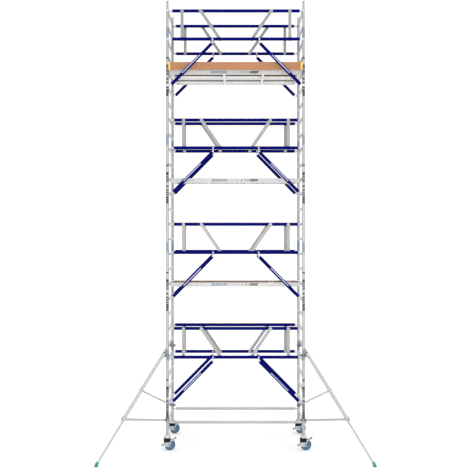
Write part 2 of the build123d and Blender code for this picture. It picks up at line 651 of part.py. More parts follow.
def coupler(z, lug_reach):
    """A clamp round the upright with a lug towards the stabiliser and a wing nut at the side."""
    body = Cylinder(COUPLER_RADIUS, COUPLER_HEIGHT)
    body += block((0, -COUPLER_LUG, -COUPLER_HEIGHT / 2), (lug_reach, COUPLER_LUG, COUPLER_HEIGHT / 2))
    ear_low, ear_high = COUPLER_EAR
    ear_end = -COUPLER_RADIUS - COUPLER_EAR_REACH
    body += block((ear_low, ear_end, -COUPLER_LUG), (ear_high, 0, COUPLER_LUG))
    body += Pos((ear_low + ear_high) / 2, ear_end + WING_RADIUS, 0) * Cylinder(WING_RADIUS, WING_LENGTH)
    body -= Cylinder(TUBE_RADIUS + COUPLER_FIT, 2 * COUPLER_HEIGHT)
    return Pos(0, 0, z) * body


def along(middle, direction, half, radius):
    """A bar centred on a point, half its length each way along a direction."""
    return tube(tuple(middle - direction * half), tuple(middle + direction * half), radius)


def top_coupler():
    """Coupler with the sleeve that grips the outer tube."""
    grip = stabiliser_point(STABILISER_OFFSET)
    lug = coupler(TOP_COUPLER_Z, STABILISER_OFFSET - STAB_TUBE_RADIUS)
    sleeve = along(grip, STAB_DOWN, SADDLE_HALF, STAB_TUBE_RADIUS + SLEEVE_WALL)
    body = lug + sleeve
    body -= along(grip, STAB_DOWN, CUTTER, STAB_TUBE_RADIUS + WELD_GAP)
    body -= Pos(0, 0, TOP_COUPLER_Z) * Cylinder(TUBE_RADIUS + COUPLER_FIT, 4 * COUPLER_HEIGHT)
    return max(body.solids(), key=lambda piece: piece.volume)


def strut_collar(middle, pin):
    """Collar on the outer tube with the eye that the strut is bolted to."""
    collar = along(middle, STAB_DOWN, COLLAR_HALF, STAB_TUBE_RADIUS + COLLAR_WALL)
    collar += tube(tuple(middle), tuple(pin), BRACKET_STEM)
    collar += Pos(pin) * Rot(90, 0, 0) * Cylinder(BRACKET_EYE_RADIUS, BRACKET_EYE_WIDTH)
    collar -= along(middle, STAB_DOWN, CUTTER, STAB_TUBE_RADIUS + WELD_GAP)
    return collar


def stabiliser_brace():
    """Outer tube, top coupler, collar, strut and base coupler of one stabiliser."""
    upper = stabiliser_point(STABILISER_OFFSET) - STAB_DOWN * STAB_OVERRUN
    lower = stabiliser_point(STAB_TUBE_END_R)
    main = tube(tuple(upper), tuple(lower), STAB_TUBE_RADIUS, STAB_TUBE_WALL)
    middle = stabiliser_point(STAB_STRUT_R)
    across = Vector(STAB_DOWN.Z, 0, -STAB_DOWN.X)
    pin = middle + across * STAB_BRACKET_DROP
    eye = Vector(COUPLER_RADIUS + EYE_REACH, 0, LOW_COUPLER_Z)
    reach = (pin - eye).normalized()
    strut_start = eye + reach * STRUT_SOCKET
    strut_end = pin - reach * (BRACKET_EYE_RADIUS + 1)
    strut = tube(tuple(strut_start), tuple(strut_end), STAB_STRUT_RADIUS, STAB_TUBE_WALL)
    base = coupler(LOW_COUPLER_Z, eye.X - 2)
    base -= tube(tuple(strut_start - reach * WELD_GAP), tuple(pin), STAB_STRUT_RADIUS + WELD_GAP)
    return [main, top_coupler(), strut_collar(middle, pin), strut, base]


def stabiliser_leg():
    """The sliding inner tube with its row of pin holes."""
    top = stabiliser_point(STAB_TUBE_END_R) - STAB_DOWN * STAB_INNER_OVERLAP
    end = stabiliser_point(STABILISER_REACH) - STAB_DOWN * LEG_SHORT
    return [tube(tuple(top), tuple(end), STAB_INNER_RADIUS, STAB_TUBE_WALL)]


def stabiliser_foot():
    """Rubber foot on the floor, with a socket for the inner tube."""
    centre = stabiliser_point(STABILISER_REACH)
    foot = tube((centre.X, 0, 0), (centre.X, 0, FOOT_HEIGHT * FOOT_PAD_SHARE), FOOT_RADIUS)
    foot = chamfer(foot.edges().group_by(Axis.Z)[0], FOOT_CHAMFER)
    foot += tube(tuple(centre), tuple(centre - STAB_DOWN * BOOT_LENGTH), STAB_INNER_RADIUS + BOOT_WALL)
    foot -= tube(tuple(centre - STAB_DOWN * (LEG_SHORT - WELD_GAP)), tuple(centre - STAB_DOWN * CUTTER),
                 STAB_INNER_RADIUS + WELD_GAP)
    return [max(foot.solids(), key=lambda piece: piece.volume)]


# ---- legs and castors, drawn about an upright at the origin ---------------------

def leg_nut():
    """Collar nut that carries the upright on the leg's thread."""
    outline = Polyline(
        (LEG_RADIUS + NUT_FIT, NUT_BOTTOM), (NUT_BASE_RADIUS, NUT_BOTTOM),
        (NUT_BASE_RADIUS, NUT_BOTTOM + NUT_FLANGE),
        (NUT_NECK_RADIUS, NUT_TOP), (TUBE_RADIUS + WELD_GAP, NUT_TOP),
        (TUBE_RADIUS + WELD_GAP, FRAME_BOTTOM - WELD_GAP), (LEG_RADIUS + NUT_FIT, FRAME_BOTTOM - WELD_GAP),
        close=True)
    nut = revolve(Plane.XZ * make_face(outline), Axis.Z)
    notch = Pos(NUT_BASE_RADIUS + NUT_NOTCH_RADIUS / 2, 0, NUT_BOTTOM + NUT_FLANGE / 2)
    notch *= Cylinder(NUT_NOTCH_RADIUS, NUT_FLANGE + 1)
    for index in range(NUT_NOTCHES):
        nut -= Rot(0, 0, 360 * index / NUT_NOTCHES) * notch
    return nut


def castor_leg():
    """Adjustable leg with the swivel head at its lower end."""
    leg = tube((0, 0, HEAD_BOTTOM), (0, 0, LEG_TOP), LEG_RADIUS)
    leg -= tube((0, 0, HEAD_TOP + HEAD_FLOOR), (0, 0, LEG_TOP + 1), LEG_RADIUS - LEG_WALL)
    leg += tube((0, 0, HEAD_BOTTOM), (0, 0, HEAD_TOP), HEAD_RADIUS)
    leg += tube((0, 0, KINGPIN_BOTTOM), (0, 0, HEAD_BOTTOM), KINGPIN_RADIUS)
    return [leg]


def castor_fork():
    """Crown, two plates and the axle between them."""
    outer = FORK_INNER + FORK_PLATE
    crown = block((CROWN_BACK, -outer, CROWN_BOTTOM), (CROWN_FRONT, outer, CROWN_TOP))
    crown -= Cylinder(KINGPIN_RADIUS + AXLE_FIT, 2 * CROWN_TOP)
    eye = Pos(WHEEL_TRAIL, WHEEL_RADIUS) * Circle(FORK_EYE_RADIUS)
    low_front, high_front = (WHEEL_TRAIL + reach for reach in FORK_LOW_FRONT)
    shoulder = Polyline((CROWN_BACK, CROWN_TOP), (CROWN_BACK, FORK_BACK_LOW),
                        (CROWN_BACK + FORK_CUT, FORK_BOTTOM), (low_front, FORK_BOTTOM),
                        (high_front, WHEEL_RADIUS), (CROWN_FRONT, FORK_SHOULDER),
                        (CROWN_FRONT, CROWN_TOP), close=True)
    outline = Plane.XZ * (make_face(shoulder) + eye)
    fork = crown
    for side in (-1, 1):
        plate = extrude(outline, FORK_PLATE / 2, both=True)
        fork += Pos(0, side * (FORK_INNER + FORK_PLATE / 2), 0) * plate
    axle_half = outer + AXLE_OVERHANG
    fork += tube((WHEEL_TRAIL, -axle_half, WHEEL_RADIUS), (WHEEL_TRAIL, axle_half, WHEEL_RADIUS), AXLE_RADIUS)
    x, z = pedal_pivot()
    stub_end = PEDAL_ARM_INNER + PEDAL_ARM + PEDAL_PIVOT_OVERHANG
    for side in (-1, 1):
        fork += tube((x, side * (outer - 1), z), (x, side * stub_end, z), PEDAL_PIVOT_RADIUS)
    return [fork]


def castor_wheel():
    """Tyre with rounded shoulders, and the hub it is moulded on."""
    tyre = Rot(90, 0, 0) * Cylinder(WHEEL_RADIUS, WHEEL_WIDTH)
    tyre = fillet(tyre.edges(), TREAD_ROUND)
    tyre -= Rot(90, 0, 0) * Cylinder(HUB_RADIUS + WELD_GAP, 2 * WHEEL_WIDTH)
    hub = Rot(90, 0, 0) * Cylinder(HUB_RADIUS, WHEEL_WIDTH - 2 * HUB_RECESS)
    hub += Rot(90, 0, 0) * Cylinder(AXLE_RADIUS + HUB_BOSS_WALL, HUB_WIDTH)
    hub -= Rot(90, 0, 0) * Cylinder(AXLE_RADIUS + AXLE_FIT, 2 * HUB_WIDTH)
    place = Pos(WHEEL_TRAIL, 0, WHEEL_RADIUS)
    return [place * tyre, place * hub]


def pedal_pivot():
    """Middle of the brake pedal, in x and z."""
    return (PEDAL_LOW[0] + PEDAL_HIGH[0]) / 2, (PEDAL_LOW[1] + PEDAL_HIGH[1]) / 2


def castor_brake():
    """Rocking pedal: an arm on each side of the fork and a tread at each end."""
    pedal = None
    for side in (-1, 1):
        y = side * (PEDAL_ARM_INNER + PEDAL_ARM / 2)
        arm = flat_bar((PEDAL_LOW[0], y, PEDAL_LOW[1]), (PEDAL_HIGH[0], y, PEDAL_HIGH[1]),
                       PEDAL_ARM_HEIGHT, PEDAL_ARM)
        pedal = arm if pedal is None else pedal + arm
    x, z = pedal_pivot()
    pedal -= tube((x, -2 * PEDAL_ARM_INNER, z), (x, 2 * PEDAL_ARM_INNER, z), PEDAL_PIVOT_RADIUS + AXLE_FIT)
    reach = PEDAL_ARM_INNER + PEDAL_ARM + PEDAL_TREAD_OVERHANG
    for x, z in (PEDAL_LOW, PEDAL_HIGH):
        pedal += tube((x, -reach, z), (x, reach, z), PEDAL_TREAD_RADIUS)
    return [pedal]


# ---- the whole tower --------------------------------------------------------

def make_frames():
    template = end_frame(rung(), spigot())
    for level in range(LEVELS):
        z = FRAME_BOTTOM + level * LEVEL_HEIGHT
        for name, side in (("left", -1), ("right", 1)):
            save(f"frame_{name}_{level + 1}", [Pos(side * HALF_LENGTH, 0, z) * piece for piece in template])
    save("frame_clips", frame_clips())


def make_guardrails():
    all_struts = []
    all_claws = []
    for name, level, plane_y, outward, shift in guardrail_layout():
        rails, struts, claws = guardrail_frame(level, plane_y, outward, shift)
        save(name, rails)
        all_struts.extend(struts)
        all_claws.extend(claws)
    base = []
    z = rung_height(0) + BASE_BRACE_LIFT
    for y in (-BASE_BRACE_Y, BASE_BRACE_Y):
        base.append(tube((-BASE_BRACE_HALF, y, z), (BASE_BRACE_HALF, y, z), BASE_BRACE_RADIUS, TUBE_WALL))
        for side in (-1, 1):
            end = (BASE_BRACE_HALF, z)
            all_claws.append(rung_claw(side, y, end, Vector(1, 0, 0), rung_height(0), BASE_BRACE_RADIUS))
    save("guardrail_struts", all_struts)
    save("guardrail_claws", all_claws)
    save("base_braces", base)


def make_decks():
    half_pitch = DECK_PITCH / 2
    layout = (
        ("low", SINGLE_DECK_Y, DECK_RUNGS["low"], 1),
        ("mid", SINGLE_DECK_Y, DECK_RUNGS["mid"], -1),
        ("top_front", -half_pitch, DECK_RUNGS["top"], 1),
        ("top_rear", half_pitch, DECK_RUNGS["top"], 0),
    )
    boards = []
    for name, middle_y, rung_number, hatch_side in layout:
        top_z = rung_height(rung_number) + DECK_RISE
        save(f"deck_frame_{name}", deck_frame(middle_y, top_z, hatch_side))
        boards.extend(deck_boards(middle_y, top_z, hatch_side))
        if hatch_side:
            save(f"hatch_{name.split('_')[0]}", [hatch(middle_y, top_z, hatch_side)])
    save("deck_boards", boards)
    working_level = rung_height(DECK_RUNGS["top"]) + DECK_RISE
    save("toe_boards", toe_boards(working_level))
    save("toe_board_clips", toe_board_clips(working_level))


def make_base():
    corners = (
        ("front_left", -1, -1, 225),
        ("front_right", 1, -1, 315),
        ("rear_left", -1, 1, 135),
        ("rear_right", 1, 1, 45),
    )
    makers = {
        "castor_leg": castor_leg(),
        "castor_fork": castor_fork(),
        "castor_wheel": castor_wheel(),
        "castor_brake": castor_brake(),
    }
    turning = {
        "stabiliser_brace": stabiliser_brace(),
        "stabiliser_leg": stabiliser_leg(),
        "stabiliser_foot": stabiliser_foot(),
    }
    nut = leg_nut()
    nuts = []
    for corner, x_side, y_side, heading in corners:
        place = Pos(x_side * HALF_LENGTH, y_side * HALF_WIDTH, 0)
        nuts.append(place * nut)
        for name, pieces in makers.items():
            save(f"{name}_{corner}", [place * piece for piece in pieces])
        for name, pieces in turning.items():
            save(f"{name}_{corner}", [place * Rot(0, 0, heading) * piece for piece in pieces])
    save("leg_nuts", nuts)


make_frames()
make_guardrails()
make_decks()
make_base()
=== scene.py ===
import math

import bmesh
import bpy
from mathutils import Matrix, Vector


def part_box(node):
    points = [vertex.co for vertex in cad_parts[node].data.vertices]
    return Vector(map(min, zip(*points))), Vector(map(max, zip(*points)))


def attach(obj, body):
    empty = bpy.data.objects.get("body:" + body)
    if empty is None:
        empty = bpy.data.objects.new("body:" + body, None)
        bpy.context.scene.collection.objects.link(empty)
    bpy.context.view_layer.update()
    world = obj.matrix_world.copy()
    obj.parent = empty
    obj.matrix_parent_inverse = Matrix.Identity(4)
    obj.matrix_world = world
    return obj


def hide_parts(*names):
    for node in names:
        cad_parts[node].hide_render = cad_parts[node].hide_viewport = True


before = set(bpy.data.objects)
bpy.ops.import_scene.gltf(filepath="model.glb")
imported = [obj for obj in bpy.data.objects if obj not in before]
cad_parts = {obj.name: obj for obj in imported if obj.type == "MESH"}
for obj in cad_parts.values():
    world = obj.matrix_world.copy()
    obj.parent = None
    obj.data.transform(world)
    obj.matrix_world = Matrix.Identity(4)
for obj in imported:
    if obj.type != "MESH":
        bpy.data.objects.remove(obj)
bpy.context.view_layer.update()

CORNERS = ("front_left", "front_right", "rear_left", "rear_right")
DECKS = ("low", "mid", "top_front", "top_rear")
HATCHES = ("low", "mid", "top")
LEVELS = 4
RUNGS = 7

# ---- sizes of the added details, in metres and degrees ------------------------
LABEL_LIFT = 0.0004         # how far a label stands off the tube
LABEL_FILM = 0.0005
LABEL_FACET = 12            # degrees round a tube for each flat of a label
WELD_RADIUS = 0.0026
WELD_POINTS = 20
BEAD_SIDES = 6
BEVEL_STEPS = 2
SMOOTH_BELOW = 35           # edges flatter than this are shaded smooth
HEXAGON = 6
HOLE_SIDES = 16             # flats of the small turned parts
FITTING_SIDES = 24
TUBE_SIDES = 32
ON_AXIS = 1e-9              # a turned outline that starts nearer than this is solid
FIRST_RUNG = 0.240          # above the lower end of a frame
RUNG_RADIUS = 0.022

TAPE_LOW = 7.53             # level sticker on the top frame
TAPE_HEIGHT = 0.19
TAPE_SWEEP = 350            # degrees round the upright
MARKS_LOW = 6.465           # column of slanted marks on the top frame
MARKS_WRAP = 138            # degrees round the upright that a bar covers
MARKS_LEAN = 16
MARKS_TURN = 14             # and its turn towards the tower's ends
MARK_BARS = (               # length of each bar and the gap above it, from the bottom up
    (0.040, 0.004), (0.040, 0.004), (0.040, 0.018),
    (0.026, 0.018), (0.026, 0.018), (0.026, 0.038),
    (0.030, 0.060),
    (0.026, 0.015), (0.026, 0.015), (0.026, 0.016),
    (0.062, 0.106),
    (0.030, 0.0),
)

RIVET_RADIUS = 0.006
RIVET_HEIGHT = 0.0032
RIVET_SIDES = 14
RAIL_RADIUS = 0.030
RAIL_DROP = 0.530           # from the upper rail of a guardrail frame to the lower one
STRUT_FACE = 0.006          # outer face of a strut from the middle of its frame
STRUT_ENDS = ((0.980, 0.980), (0.650, 0.287))   # upper and lower end of each strut, out from the middle
BRACE_TOP = (0.441, 0.080)  # out from the middle, and down from the lower rail
BRACE_FOOT = (1.175, 0.825)
STRIP_SHARES = (0.29, 0.73)     # ends of the pale strip, as shares of the brace
STRIP_FROM = -8             # degrees round the brace, from facing outwards
STRIP_SWEEP = 28
STRIP_FACETS = 4

INSIDE_FROM = 0.0015        # a platform's inner faces start this far in from its sides
HINGE_RISE = 0.0089         # top of a hatch's hinge above the side beams
BEAM_MARKS_DROP = 0.036     # middle of the marks below the top of the beam
BEAM_MARKS_LEAN = 0.45      # as a share of a mark's half height
BEAM_MARKS = (              # start, end, half height, bar width, gap and tint of each row
    (-0.440, -0.160, 0.0240, 0.021, 0.016, 0),
    (-0.120, 0.070, 0.0200, 0.004, 0.030, 0),
    (0.114, 0.135, 0.0240, 0.012, 0.010, 1),
    (0.175, 0.285, 0.0220, 0.010, 0.022, 1),
    (0.285, 0.420, 0.0240, 0.028, 0.007, 1),
)
BEAM_RIVETS = (-1.15, 0.230, 11)    # first place along the beam, pitch and count
BEAM_RIVET_DROP = 0.0165
BEAM_RIVET = (0.0035, 0.0022)       # radius and height of its head
BOARD_SCREWS = (-1.14, 0.190, 13)
BOARD_SCREW_SINK = 0.0004
BOARD_SCREW = (0.0042, 0.0012)
SCREW_INSET = 0.020         # from the sides of a platform
HATCH_LEAF = 0.008          # top of a hatch's hinge above the boards
LATCH_INSET = 0.055         # from the free edge of a hatch
LATCH_TURN = 35             # its bar is left part turned
LATCH_PLATE = ((0, -0.001), (0.030, -0.001), (0.030, 0.0012), (0.026, 0.0022), (0.012, 0.0022), (0, 0.0022))
LATCH_BAR = ((-0.024, -0.0055, 0.0018), (0.024, 0.0055, 0.0052))
LATCH_BEVEL = 0.0012

CLAW_RADIUS = 0.0314        # outside of a guardrail claw's hook
DECK_HOOK_RADIUS = 0.0304
HOOK_INSET = 0.016          # middle of a platform hook, in from the platform's side
TONGUE_GAP = 0.0003         # between a hook and its spring tongue
TONGUE_THICK = 0.0035
TONGUE_HALF = 0.011
TONGUE_FROM = 28            # degrees above the rung's level where it starts, and each step down
TONGUE_STEP = 11
TONGUE_POINTS = 10
TONGUE_RIVET = (0.0045, 0.0030)
TONGUE_RIVET_SINK = 0.0005

STABILISER_OFFSET = 0.112   # outer tube from the upright, at the top coupler
STABILISER_REACH = 1.5924   # foot from the upright, along the floor
STABILISER_FOOT = 0.062     # height of the foot
OUTER_TUBE = 0.025          # radii of the telescopic tubes
INNER_TUBE = 0.020
TUBE_FIT = 0.0002           # clearances round the outer tube and the inner one
THROAT_FIT = 0.0006
OUTER_TUBE_END = 1.3668     # distances down the tube from the top coupler's grip
INNER_TUBE_END = 2.235
CAP_STEPS = (-0.0740, -0.0715, -0.0560, -0.0702)    # its top, edge, rim and floor, down the tube
CAP_CHAMFER = 0.0015
CAP_LIP = 0.0012
SLEEVE_STEPS = (-0.034, -0.030, 0.0004, 0.004)      # start, shoulder, stop and lip, from the tube's end
SLEEVE_THIN = 0.0022
SLEEVE_WALL = 0.0040
TOP_COUPLER = 1.730
LOW_COUPLER = 0.555
STRUT_RISE = 9.7            # how far the strut climbs away from the upright
FITTING_START = 0.052       # fitting in the strut's end, out from the upright
FITTING_RADIUS = 0.0160
FITTING_LENGTH = 0.040
COUPLER_BOLTS = ((0.047, LOW_COUPLER), (0.056, TOP_COUPLER))    # out from the upright, and height
COUPLER_REACH = 0.088       # couplers end this far from the upright's axis
COUPLER_HALF = 0.0140       # half the thickness of a coupler's lug
BOLT_CIRCLE = 0.0095        # from a bolt head's middle to its corners
BOLT_SINK = 0.001
BOLT_HEIGHT = 0.006
LOCK_RISE = 0.016           # lock pin above the end of the outer tube
LOCK_PIN = 0.0040
LOCK_HEAD = 0.0075
LOCK_STEPS = (0.011, 0.009, 0.015)  # tail, neck and head, out from the outer tube
RING_RADIUS = 0.0130
RING_WIRE = 0.0014
RING_POINTS = 24
PIN_HOLES_FROM = 0.055      # first hole below the outer tube
PIN_HOLE_PITCH = 0.090
PIN_HOLES_TO = 0.080        # last hole above the foot
PIN_HOLE = 0.0055
PIN_HOLE_DEPTH = 0.0015

WHEEL_RADIUS = 0.100
WHEEL_TRAIL = 0.043         # axle from the swivel
TREAD = ((0.0725, -0.0215), (0.0800, -0.0235), (0.0900, -0.0235), (0.0960, -0.0195), (0.0990, -0.0125),
         (0.1000, 0.0), (0.0990, 0.0125), (0.0960, 0.0195), (0.0900, 0.0235), (0.0800, 0.0235),
         (0.0725, 0.0215))
RIM = ((0.0600, -0.0205), (0.0724, -0.0215), (0.0724, 0.0215), (0.0600, 0.0205), (0.0600, 0.0055),
       (0.0600, -0.0055))
WEB = ((0.0230, -0.0050), (0.0601, -0.0050), (0.0601, 0.0050), (0.0230, 0.0050))
BOSS = ((0.0102, -0.0285), (0.0190, -0.0285), (0.0205, -0.0260), (0.0240, -0.0200), (0.0240, 0.0200),
        (0.0205, 0.0260), (0.0190, 0.0285), (0.0102, 0.0285))
WHEEL_RINGS = ((TREAD, 72, 0), (RIM, 72, 1), (WEB, 48, 1), (BOSS, 40, 2))   # outline, sides and tint
SPOKES = 8
SPOKE = ((0.0225, -0.0028, -0.0170), (0.0605, 0.0028, 0.0170))
SPOKE_BEVEL = 0.001
SHROUD_SIDE = ((-0.061, 0.158), (-0.050, 0.148), (0.040, 0.148), (0.055, 0.163), (0.055, 0.2215),
               (-0.061, 0.2215))
SHROUD_WALL = (0.0445, 0.0478)
SHROUD_BACK = ((-0.0640, -0.0370, 0.104), (-0.0606, 0.0370, 0.2200))
SHROUD_LIPS = ((-0.061, -0.0405), (0.0405, 0.055))      # from and to along the castor
SHROUD_LIP_HALF = 0.0446
SHROUD_LIP_HEIGHTS = (0.2185, 0.2215)
SHROUD_BEVEL = 0.0008
TREAD_ENDS = ((-0.100, 0.080), (0.147, 0.216))          # ends of the brake pedal, along and up
TREAD_BORE = 0.0092
TREAD_RIBS = 11
TREAD_SIDES = 20
TREAD_HALF = 0.033
TREAD_CREST = 0.0135
TREAD_ROOT = 0.0122
AXLE_NUT = 0.0125           # from its middle to its corners
AXLE_NUT_SPAN = (0.0372, 0.0465)
AXLE_WASHER = (0.0103, 0.0215)
AXLE_WASHER_THICK = 0.002

# ---- light and camera ---------------------------------------------------------
HORIZON_LIGHT = 1.02        # brightness of the studio at eye level
OVERHEAD_LIGHT = 2.0        # and straight above
TOWER_MIDDLE = 4.1
PANELS = (                  # name, place, power and size of each soft lamp
    ("front_panel", (0.0, -18.0, 3.2), 1600.0, (4.0, 5.0)),
    ("right_panel", (14.0, -9.0, 5.0), 350.0, (4.0, 6.0)),
)
CAMERA_PLACE = (0, -16.78, 4.13)
CAMERA_LENS = 67.6
CAMERA_SENSOR = 36.0
CAMERA_SHIFT = (-0.001, -0.0235)
CAMERA_SIGHT = 1000         # far enough for the whole floor
FLOOR_REACH = 400.0
FLOOR_TONES = (0.715, 0.725)


# ---- places read from the frame ----------------------------------------------

def middle(node):
    low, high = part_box(node)
    return (low + high) / 2


def corner_axis(corner):
    """Centre line of one upright, as x and y."""
    place = middle(f"castor_leg_{corner}")
    return place.x, place.y


TUBE_RADIUS = (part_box("frame_left_1")[1].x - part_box("frame_left_1")[0].x) / 2
FRAME_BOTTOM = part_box("frame_left_1")[0].z
LEVEL_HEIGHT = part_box("frame_left_2")[0].z - FRAME_BOTTOM
RUNG_PITCH = LEVEL_HEIGHT / RUNGS
HALF_WIDTH = abs(corner_axis("front_left")[1])
HALF_LENGTH = abs(corner_axis("front_left")[0])


# ---- building meshes -----------------------------------------------------------

class Shape:
    """Points and faces of one piece, gathered from simple closed parts."""

    def __init__(self):
        self.points = []
        self.faces = []
        self.tints = []

    def add(self, points, faces, place=Matrix.Identity(4), tint=0):
        first = len(self.points)
        self.points.extend(place @ Vector(point) for point in points)
        self.faces.extend([first + index for index in face] for face in faces)
        self.tints.extend([tint] * len(faces))

    def box(self, low, high, place=Matrix.Identity(4), tint=0, bevel=0.0):
        """A box, with its twelve edges cut by a flat bevel where one is given."""
        work = bmesh.new()
        bmesh.ops.create_cube(work, size=1.0)
        size = Vector(high) - Vector(low)
        centre = (Vector(high) + Vector(low)) / 2
        bmesh.ops.scale(work, vec=size, verts=work.verts)
        bmesh.ops.translate(work, vec=centre, verts=work.verts)
        if bevel:
            bmesh.ops.bevel(work, geom=work.edges[:], offset=bevel, segments=BEVEL_STEPS, profile=0.5,
                            affect="EDGES")
        self.take(work, place, tint)

    def take(self, work, place=Matrix.Identity(4), tint=0):
        """Adds everything in a bmesh, and frees it."""
        work.verts.index_update()
        points = [vert.co.copy() for vert in work.verts]
        faces = [[vert.index for vert in face.verts] for face in work.faces]
        work.free()
        self.add(points, faces, place, tint)

    def lathe(self, profile, steps, place=Matrix.Identity(4), tint=0):
        """Turns an outline of (radius, z) about Z. It starts and ends on the axis, or is closed off it."""
        solid = profile[0][0] < ON_AXIS
        ring = profile[1:-1] if solid else profile
        rows = len(ring)
        points = []
        for step in range(steps):
            angle = 2 * math.pi * step / steps
            points.extend((r * math.cos(angle), r * math.sin(angle), z) for r, z in ring)
        faces = []
        for step in range(steps):
            here = step * rows
            there = (step + 1) % steps * rows
            last = rows - 1 if solid else rows
            for row in range(last):
                after = (row + 1) % rows
                faces.append((here + row, there + row, there + after, here + after))
        if solid:
            points.append((0, 0, profile[0][1]))
            points.append((0, 0, profile[-1][1]))
            low = len(points) - 2
            high = len(points) - 1
            for step in range(steps):
                here = step * rows
                there = (step + 1) % steps * rows
                faces.append((low, there, here))
                faces.append((high, here + rows - 1, there + rows - 1))
        self.add(points, faces, place, tint)

    def prism(self, outline, low, high, place=Matrix.Identity(4), tint=0):
        """An outline of (x, y) drawn out along Z."""
        count = len(outline)
        points = [(x, y, low) for x, y in outline] + [(x, y, high) for x, y in outline]
        faces = [tuple(reversed(range(count))), tuple(range(count, 2 * count))]
        for index in range(count):
            after = (index + 1) % count
            faces.append((index, after, count + after, count + index))
        self.add(points, faces, place, tint)

    def sweep(self, path, radius, steps, tint=0):
        """A round bead along a closed row of points."""
        points = []
        count = len(path)
        for index, point in enumerate(path):
            along = (Vector(path[(index + 1) % count]) - Vector(path[index - 1])).normalized()
            side = along.orthogonal() if index == 0 else side - along * side.dot(along)
            side = side.normalized()
            up = along.cross(side)
            for step in range(steps):
                angle = 2 * math.pi * step / steps
                points.append(Vector(point) + radius * (side * math.cos(angle) + up * math.sin(angle)))
        faces = []
        for index in range(count):
            here = index * steps
            there = (index + 1) % count * steps
            for step in range(steps):
                after = (step + 1) % steps
                faces.append((here + step, here + after, there + after, there + step))
        self.add(points, faces, tint=tint)

    def wrap(self, axis, radius, angles, heights, lean=0.0):
        """A label on an upright tube. angles are degrees, and lean shifts its top round the tube."""
        start, end = angles
        low, high = heights
        steps = max(1, math.ceil(abs(end - start) / LABEL_FACET))
        points = []
        for layer in (radius, radius + LABEL_FILM):
            for z, shift in ((low, 0.0), (high, lean)):
                for step in range(steps + 1):
                    angle = math.radians(start + (end - start) * step / steps + shift)
                    points.append((axis[0] + layer * math.cos(angle), axis[1] + layer * math.sin(angle), z))
        row = steps + 1
        faces = []
        for step in range(steps):
            low_in, high_in = step, row + step
            low_out, high_out = 2 * row + step, 3 * row + step
            faces.append((low_out, low_out + 1, high_out + 1, high_out))
            faces.append((low_in + 1, low_in, high_in, high_in + 1))
            faces.append((low_in, low_in + 1, low_out + 1, low_out))
            faces.append((high_in + 1, high_in, high_out, high_out + 1))
        for index in (0, steps):
            faces.append((index, 2 * row + index, 3 * row + index, row + index))
        self.add(points, faces)

    def piece(self, name, body, materials):
        """Turns the shape into an object, parented to the empty named after a body."""
        mesh = bpy.data.meshes.new(name)
        mesh.from_pydata([tuple(point) for point in self.points], [], self.faces)
        for material in materials:
            mesh.materials.append(material)
        mesh.polygons.foreach_set("material_index", self.tints)
        tidy = bmesh.new()
        tidy.from_mesh(mesh)
        bmesh.ops.recalc_face_normals(tidy, faces=tidy.faces)
        tidy.to_mesh(mesh)
        tidy.free()
        mesh.shade_smooth()
        mesh.set_sharp_from_angle(angle=math.radians(SMOOTH_BELOW))
        thing = bpy.data.objects.new(name, mesh)
        bpy.context.scene.collection.objects.link(thing)
        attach(thing, body)
        return thing


def turned(axis, angle):
    """A turn about an axis, in degrees."""
    return Matrix.Rotation(math.radians(angle), 4, axis)


def at(*place):
    return Matrix.Translation(Vector(place))


def circle(radius, count):
    """Points round a circle about the origin, as x and y."""
    angles = [2 * math.pi * step / count for step in range(count)]
    return [(radius * math.cos(angle), radius * math.sin(angle)) for angle in angles]


def row_of(first, pitch, count):
    return [first + pitch * step for step in range(count)]


# ---- materials --------------------------------------------------------------------

THREAD_PITCH = 0.006
PLY_LAYER = 0.0028
MESH_CELLS = 150            # cells of the anti-slip mesh to a metre


